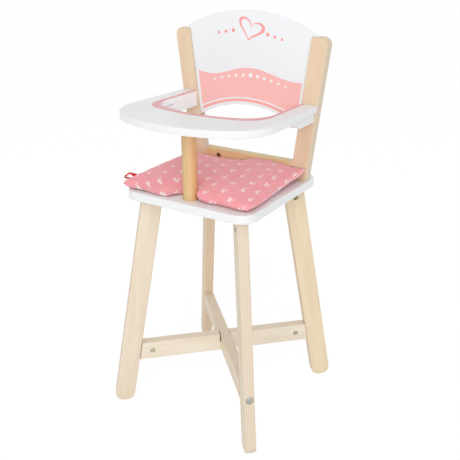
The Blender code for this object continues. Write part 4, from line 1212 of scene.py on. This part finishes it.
def fold_at(x, y):
    """How deep the fold is at a place: deepest at the slit and gone at its far end."""
    deepest = 0
    stretches = list(zip(FOLD_POINTS, FOLD_POINTS[1:]))
    for index, (start, end) in enumerate(stretches):
        a, b = Vector(start) * MM, Vector(end) * MM
        run = b - a
        along = min(1, max(0, (Vector((x, y)) - a).dot(run) / run.length_squared))
        away = (Vector((x, y)) - a - run * along).length
        fade = 1 - (index + along) / len(stretches)
        deepest = max(deepest, fade * hump(away, FOLD_WIDTH))
    return deepest


held = set(seam_indices)
for vert, start in zip(cushion.data.vertices, drawn):
    on_seam = vert.index in held
    drift = vert.co - start
    upper = drift.z > 0 and not on_seam
    limit = MOVE_LIMIT if upper else UNDER_LIMIT
    if drift.length > 0:
        drift *= 0 if on_seam else soft_limit(drift.length, limit) / drift.length
    spot = start + drift
    if upper:
        lump = noise.noise(Vector((spot.x, spot.y, 0)) * LUMP_SCALE)
        spot.z += LUMP_DEPTH * lump - FOLD_DEPTH * fold_at(spot.x, spot.y)
    spot.z = min(max(spot.z, rest_height), TOP_LIMIT)
    spot.y = min(spot.y, cushion_rear)
    from_post = Vector((spot.x, spot.y)) - POST_AXIS
    clear = POST_RADIUS + CLEARANCE
    if from_post.length < clear:
        from_post *= clear / from_post.length
        spot.x, spot.y = POST_AXIS + from_post
    vert.co = spot
cushion.data.update()
smooth = cushion.modifiers.new("fine fabric", "SUBSURF")
smooth.levels = 1
smooth.render_levels = 1
cushion.data.shade_smooth()
cushion_top = max(vert.co.z for vert in cushion.data.vertices)
print("cushion top in millimetres:", round(cushion_top / MM, 1))

# %% [markdown]
# The cotton is printed with scattered blossoms. For the print, the cloth's plane is cut into cells in
# staggered rows, and each cell is shifted and turned by random numbers of its own, so no two look
# stamped. Where the cushion falls away to its sides, the print is laid out as if the cloth were flat: the
# drop is added to the distance from the middle.

# %% Layout of the print
PRINT_TURN = math.radians(33)
PRINT_SHIFT = (9 * MM, 5 * MM)
TURN_REACH = 30 * MM
CELL_WIDTH = 23 * MM
CELL_DEPTH = 26 * MM
CELL_JITTER = (4 * MM, 3 * MM)
MOTIF_TURN = 0.6
MOTIF_STRETCH = 0.5


def unrolled(cloth):
    """A place on the cloth in the print's own two directions."""
    weave_x, weave_y, weave_z = cloth.split(cloth.place)
    drop = cloth.math("SUBTRACT", crown, weave_z)
    flat = []
    for value, shift in zip((weave_x, weave_y), PRINT_SHIFT):
        side = cloth.math("MAXIMUM", cloth.math("DIVIDE", value, TURN_REACH), -1.0)
        side = cloth.math("MINIMUM", side, 1.0)
        flat.append(cloth.math("ADD", cloth.math("MULTIPLY_ADD", drop, side, value), shift))
    cosine, sine = math.cos(PRINT_TURN), math.sin(PRINT_TURN)
    return [cloth.dot(cloth.vector(*flat), way) for way in ((cosine, sine, 0), (-sine, cosine, 0))]


def place_in_cell(cloth):
    """The same place, measured from the middle of its own cell, shifted and turned."""
    x, y = unrolled(cloth)
    row = cloth.math("FLOOR", cloth.math("DIVIDE", y, CELL_DEPTH))
    stagger = cloth.math("MULTIPLY", cloth.math("MODULO", cloth.math("ABSOLUTE", row), 2.0), 0.5)
    across = cloth.math("ADD", cloth.math("DIVIDE", x, CELL_WIDTH), stagger)
    column = cloth.math("FLOOR", across)
    luck = cloth.add("ShaderNodeTexWhiteNoise", noise_dimensions="2D")
    cloth.feed(luck.inputs["Vector"], cloth.vector(column, row))
    chances = cloth.add("ShaderNodeSeparateColor")
    cloth.feed(chances.inputs[0], luck.outputs["Color"])
    shift_x, shift_y, twist = chances.outputs

    share_x = cloth.math("SUBTRACT", cloth.math("SUBTRACT", across, column), 0.5)
    share_y = cloth.math("SUBTRACT", cloth.math("DIVIDE", y, CELL_DEPTH), cloth.math("ADD", row, 0.5))
    local = []
    for share, size, chance, jitter in (
            (share_x, CELL_WIDTH, shift_x, CELL_JITTER[0]), (share_y, CELL_DEPTH, shift_y, CELL_JITTER[1])):
        middle = cloth.math("MULTIPLY", share, size)
        local.append(cloth.math("MULTIPLY_ADD", cloth.math("SUBTRACT", chance, 0.5), jitter, middle))
    local[1] = cloth.math("MULTIPLY", local[1], MOTIF_STRETCH)
    turn = cloth.add("ShaderNodeVectorRotate", rotation_type="Z_AXIS")
    cloth.feed(turn.inputs["Vector"], cloth.vector(*local))
    cloth.feed(turn.inputs["Angle"], cloth.math("MULTIPLY_ADD", twist, 2 * MOTIF_TURN, -MOTIF_TURN))
    return turn.outputs[0]


print("print cells are", CELL_WIDTH / MM, "by", CELL_DEPTH / MM, "millimetres")

# %% [markdown]
# Each cell draws one motif: a small blossom of five petals with a bud beside it. In polar terms a blossom
# is simple. Its rim is a circle whose radius swings five times on the way round, and a smaller circle in
# the middle, the eye, lets the cloth show.

# %% Blossom motif
PETAL_COUNT = 5
PETAL_MIDDLE = 0.80
PETAL_SWING = 0.26
RIM_SOFTNESS = 0.15 * MM
EYE_SOFTNESS = 0.3
BLOOM = {"x": -0.6, "y": 0, "radius": 3.1, "eye": 0.8}
BUD = {"x": 4.4, "y": 1.3, "radius": 1.6, "eye": 0.2}
BUD_STRENGTH = 0.75


def blossom(cloth, spot, x, y, radius, eye):
    """Petals round an eye, at a place in the cell. The sizes are in millimetres."""
    step = cloth.add("ShaderNodeVectorMath", operation="SUBTRACT")
    cloth.feed(step.inputs[0], spot)
    step.inputs[1].default_value = (x * MM, y * MM, 0)
    parts = cloth.split(step.outputs[0])
    length = cloth.add("ShaderNodeVectorMath", operation="LENGTH")
    cloth.feed(length.inputs[0], step.outputs[0])
    distance = length.outputs["Value"]
    angle = cloth.math("ARCTAN2", parts[1], parts[0])
    petals = cloth.math("COSINE", cloth.math("MULTIPLY", angle, PETAL_COUNT))
    rim = cloth.math("MULTIPLY_ADD", petals, radius * PETAL_SWING * MM, radius * PETAL_MIDDLE * MM)
    inside = cloth.ramp(cloth.math("SUBTRACT", distance, rim), RIM_SOFTNESS, -RIM_SOFTNESS)
    eye_edge = cloth.ramp(distance, eye * (1 - EYE_SOFTNESS) * MM, eye * (1 + EYE_SOFTNESS) * MM)
    return cloth.math("MULTIPLY", inside, eye_edge)


print("a blossom is", round(2 * BLOOM["radius"] * (PETAL_MIDDLE + PETAL_SWING), 1), "millimetres wide")

# %% [markdown]
# The fabric is a plain weave, dyed pink. The weave is two crossing sets of threads, drawn from the cloth's
# own flat directions, with a few thicker threads among them. Cotton is fuzzy and lets a little light
# through, so it also gets some sheen and light that scatters below its surface.

# %% Printed cotton
COTTON_PINK = seen(240, 167, 172)
COTTON_SHADE = seen(234, 156, 162)
COTTON_SHEEN = seen(255, 176, 180)
PRINT_WHITE = seen(253, 238, 238)
PRINT_STRENGTH = 0.95
THREAD_PITCH = 0.45 * MM
SLUB_SCALES = (60, 1400, 1)
FADE_SCALE = 55
WEAVE_RELIEF = 0.05 * MM


def printed_cotton():
    cloth = Recipe("printed pink cotton", roughness=0.85)
    spot = place_in_cell(cloth)
    bud = cloth.math("MULTIPLY", blossom(cloth, spot, **BUD), BUD_STRENGTH)
    motif = cloth.math("MAXIMUM", blossom(cloth, spot, **BLOOM), bud)

    ways = cloth.split(cloth.place)
    turns = 2 * math.pi / THREAD_PITCH
    warp, weft = (cloth.math("SINE", cloth.math("MULTIPLY", way, turns)) for way in (ways[0], ways[1]))
    weave = cloth.math("MULTIPLY_ADD", cloth.math("MULTIPLY", warp, weft), 0.5, 0.5)
    slub = cloth.stretched_noise(ways, SLUB_SCALES, detail=2)
    fade = cloth.noise(cloth.place, scale=FADE_SCALE, detail=2)
    tone = cloth.weighed((slub, 0.5), (cloth.ramp(fade, 0.3, 0.7), 0.5))
    dyed = cloth.mix(tone, COTTON_PINK, COTTON_SHADE)
    cloth.color(cloth.mix(cloth.math("MULTIPLY", motif, PRINT_STRENGTH), dyed, PRINT_WHITE))
    cloth.rough(weave, 0.78, 0.92)
    cloth.bump(cloth.math("MULTIPLY_ADD", slub, 0.4, weave), WEAVE_RELIEF)
    for socket, value in {
            "Sheen Weight": 0.9, "Sheen Roughness": 0.5, "Sheen Tint": COTTON_SHEEN,
            "Subsurface Weight": 1.0, "Subsurface Scale": 12 * MM,
            "Subsurface Radius": (1.0, 0.5, 0.5)}.items():
        cloth.shader.inputs[socket].default_value = value
    return cloth


dress(cushion, printed_cotton())
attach(cushion, "cushion")
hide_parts("cushion")
print("threads to the centimetre:", round(10 * MM / THREAD_PITCH))

# %% [markdown]
# The right side was the last to be closed, after the stuffing went in, so its seam was whipped shut by
# hand. Each stitch is a short slanted thread that comes up through the top panel and goes over the seam.
# The threads follow the seam's own curve, so they are placed by walking along the plan's outer edge.

# %% Closing stitches
STITCH_COUNT = 24
STITCH_START_SHARE = 0.06
STITCH_END_SHARE = 0.97
STITCH_PATH = ((3.2, 1.9, 1), (1.6, 1.8, 0.5), (0.2, 0.5, 0), (0.6, -0.8, 0))
STITCH_SLANT = Vector((0, 0.8 * MM, 0))
THREAD_RADIUS = 0.6 * MM
THREAD_WHITE = seen(252, 240, 240)
THREAD_PINK = seen(240, 200, 202)
TWIST_SCALE = 2600
THREAD_RELIEF = 0.03 * MM


def seam_spot(along, inward, rise):
    """A place near the right seam: this far in from it and this far above it."""
    x, y, gaps = plan_point(RIGHT, 1, along)
    return Vector((x - inward, y, cushion_layers(x, y, 1, gaps, True)[0] + rise))


def add_thread(mesh, path, sides=6):
    """A round thread along the path, closed at both ends."""
    angles = [2 * math.pi * step / sides for step in range(sides)]
    rings = []
    for index, spot in enumerate(path):
        heading = (path[min(index + 1, len(path) - 1)] - path[max(index - 1, 0)]).normalized()
        across = heading.cross(Vector((0, 0, 1))).normalized()
        up = across.cross(heading)
        rings.append([mesh.verts.new(spot + (across * math.cos(a) + up * math.sin(a)) * THREAD_RADIUS)
                      for a in angles])
    close_rings(mesh, rings)


stitches = bmesh.new()
for index in range(STITCH_COUNT):
    along = STITCH_START_SHARE + (STITCH_END_SHARE - STITCH_START_SHARE) * index / (STITCH_COUNT - 1)
    add_thread(stitches, [
        seam_spot(along, inward * MM, rise * MM) - STITCH_SLANT * slant
        for inward, rise, slant in STITCH_PATH
    ])
thread = Recipe("closing thread", roughness=0.7)
twist = thread.noise(thread.place, scale=TWIST_SCALE, detail=1)
thread.color(thread.mix(twist, THREAD_WHITE, THREAD_PINK))
thread.rough(twist, 0.6, 0.8)
thread.bump(twist, THREAD_RELIEF)
place_mesh("closing_stitches", stitches, "cushion", thread)
print("stitches:", STITCH_COUNT)

# %% [markdown]
# A small red ribbon is caught in the left seam near the front: a strip folded into a loop, whose sides
# spring apart to leave a three-cornered window. It is drawn as a path that leaves the seam, rises to the
# fold and comes back. The path's corners are shares of the tag's box in the frame, and some lie a little
# outside it, because a soft loop bulges. A smooth curve then runs through the corners.

# %% Path of the ribbon
tag_low, tag_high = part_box("cushion_tag")
LOOP_CORNERS = (
    (1.2, 0.16), (0.55, 0.06), (-0.02, 0.06), (0.06, 0.36), (0.62, 1.22), (0.74, 1.16), (1.2, 0.70)
)


def ribbon_path():
    """The corners of the loop from the seam and back, as (x, z)."""
    width = tag_high.x - tag_low.x
    height = tag_high.z - tag_low.z
    return [Vector((tag_low.x + width * x, tag_low.z + height * z)) for x, z in LOOP_CORNERS]


def smooth_path(points, steps=8):
    """A curve through the points, with each stretch shaped by its neighbours."""
    padded = [points[0]] + list(points) + [points[-1]]
    path = []
    for before, start, end, after in zip(padded, padded[1:], padded[2:], padded[3:]):
        for step in range(steps):
            t = step / steps
            path.append(0.5 * (
                2 * start + (end - before) * t + (2 * before - 5 * start + 4 * end - after) * t ** 2
                + (3 * start - before - 3 * end + after) * t ** 3
            ))
    return path + [points[-1]]


path = smooth_path(ribbon_path())

# %% [markdown]
# The strip is the path made as wide as the ribbon. At the seam its width runs along the seam. Further out
# the loop has turned: the far edge of the strip points away from the seam, so that the window shows from
# the front. Its woven edges are thinner than its middle, and fine ribs run across it.

# %% Ribbon tag
RIBBON_WIDTH = 10 * MM
RIBBON_THICKNESS = 0.5 * MM
RIBBON_EDGE = 0.9 * MM
EDGE_THICKNESS_SHARE = 0.6
ALONG_SEAM = Vector((0, 1, 0))
RIBBON_TURN = Vector((-0.66, 0.75, -0.07))
TURN_QUICKNESS = 3.2
RIBBON_RED = seen(238, 8, 18)
RIBBON_SHADE = seen(216, 4, 12)
RIB_PITCH = 0.35 * MM
RIBBON_RELIEF = 0.04 * MM


def ribbon_section(index):
    """The strip's outline at one point of the path: its upper side, then its lower side."""
    spot = path[index]
    heading = (path[min(index + 1, len(path) - 1)] - path[max(index - 1, 0)]).normalized()
    out = Vector((heading.y, 0, -heading.x)) * RIBBON_THICKNESS / 2
    from_seam = min(1, max(0, (tag_high.x - spot.x) / (tag_high.x - tag_low.x) * TURN_QUICKNESS))
    width_way = ALONG_SEAM.lerp(RIBBON_TURN, from_seam).normalized()
    near = Vector((spot.x, tag_low.y, spot.y))
    edges = (
        (0, EDGE_THICKNESS_SHARE), (RIBBON_EDGE, 1),
        (RIBBON_WIDTH - RIBBON_EDGE, 1), (RIBBON_WIDTH, EDGE_THICKNESS_SHARE),
    )
    upper = [near + width_way * away + out * lift for away, lift in edges]
    lower = [near + width_way * away - out * lift for away, lift in reversed(edges)]
    return upper + lower


def red_ribbon():
    cloth = Recipe("red woven ribbon", roughness=0.55)
    ribs = cloth.math("SINE", cloth.math("MULTIPLY", cloth.split(cloth.place)[1], 2 * math.pi / RIB_PITCH))
    cloth.color(cloth.mix(cloth.math("MULTIPLY_ADD", ribs, 0.5, 0.5), RIBBON_RED, RIBBON_SHADE))
    cloth.shader.inputs["Specular IOR Level"].default_value = 0.15
    cloth.rough(ribs, 0.5, 0.62)
    cloth.bump(ribs, RIBBON_RELIEF)
    return cloth


ribbon = bmesh.new()
stations = [[ribbon.verts.new(point) for point in ribbon_section(index)] for index in range(len(path))]
close_rings(ribbon, stations)
tag = place_mesh("ribbon_tag", ribbon, "cushion", red_ribbon())
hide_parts("cushion_tag")
print("ribbon tag has", len(stations), "sections")

# %% [markdown]
# Last, the finished model is measured against the frame's own box, so that the dressing stays within
# the size of the chair.

# %% Measure and finish
sizes = {"cad": [list(corner) for corner in cad_box], "visual": [list(corner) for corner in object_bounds()]}
for name, (low, high) in sizes.items():
    print(name, "box in millimetres:", [round((b - a) / MM, 1) for a, b in zip(low, high)])
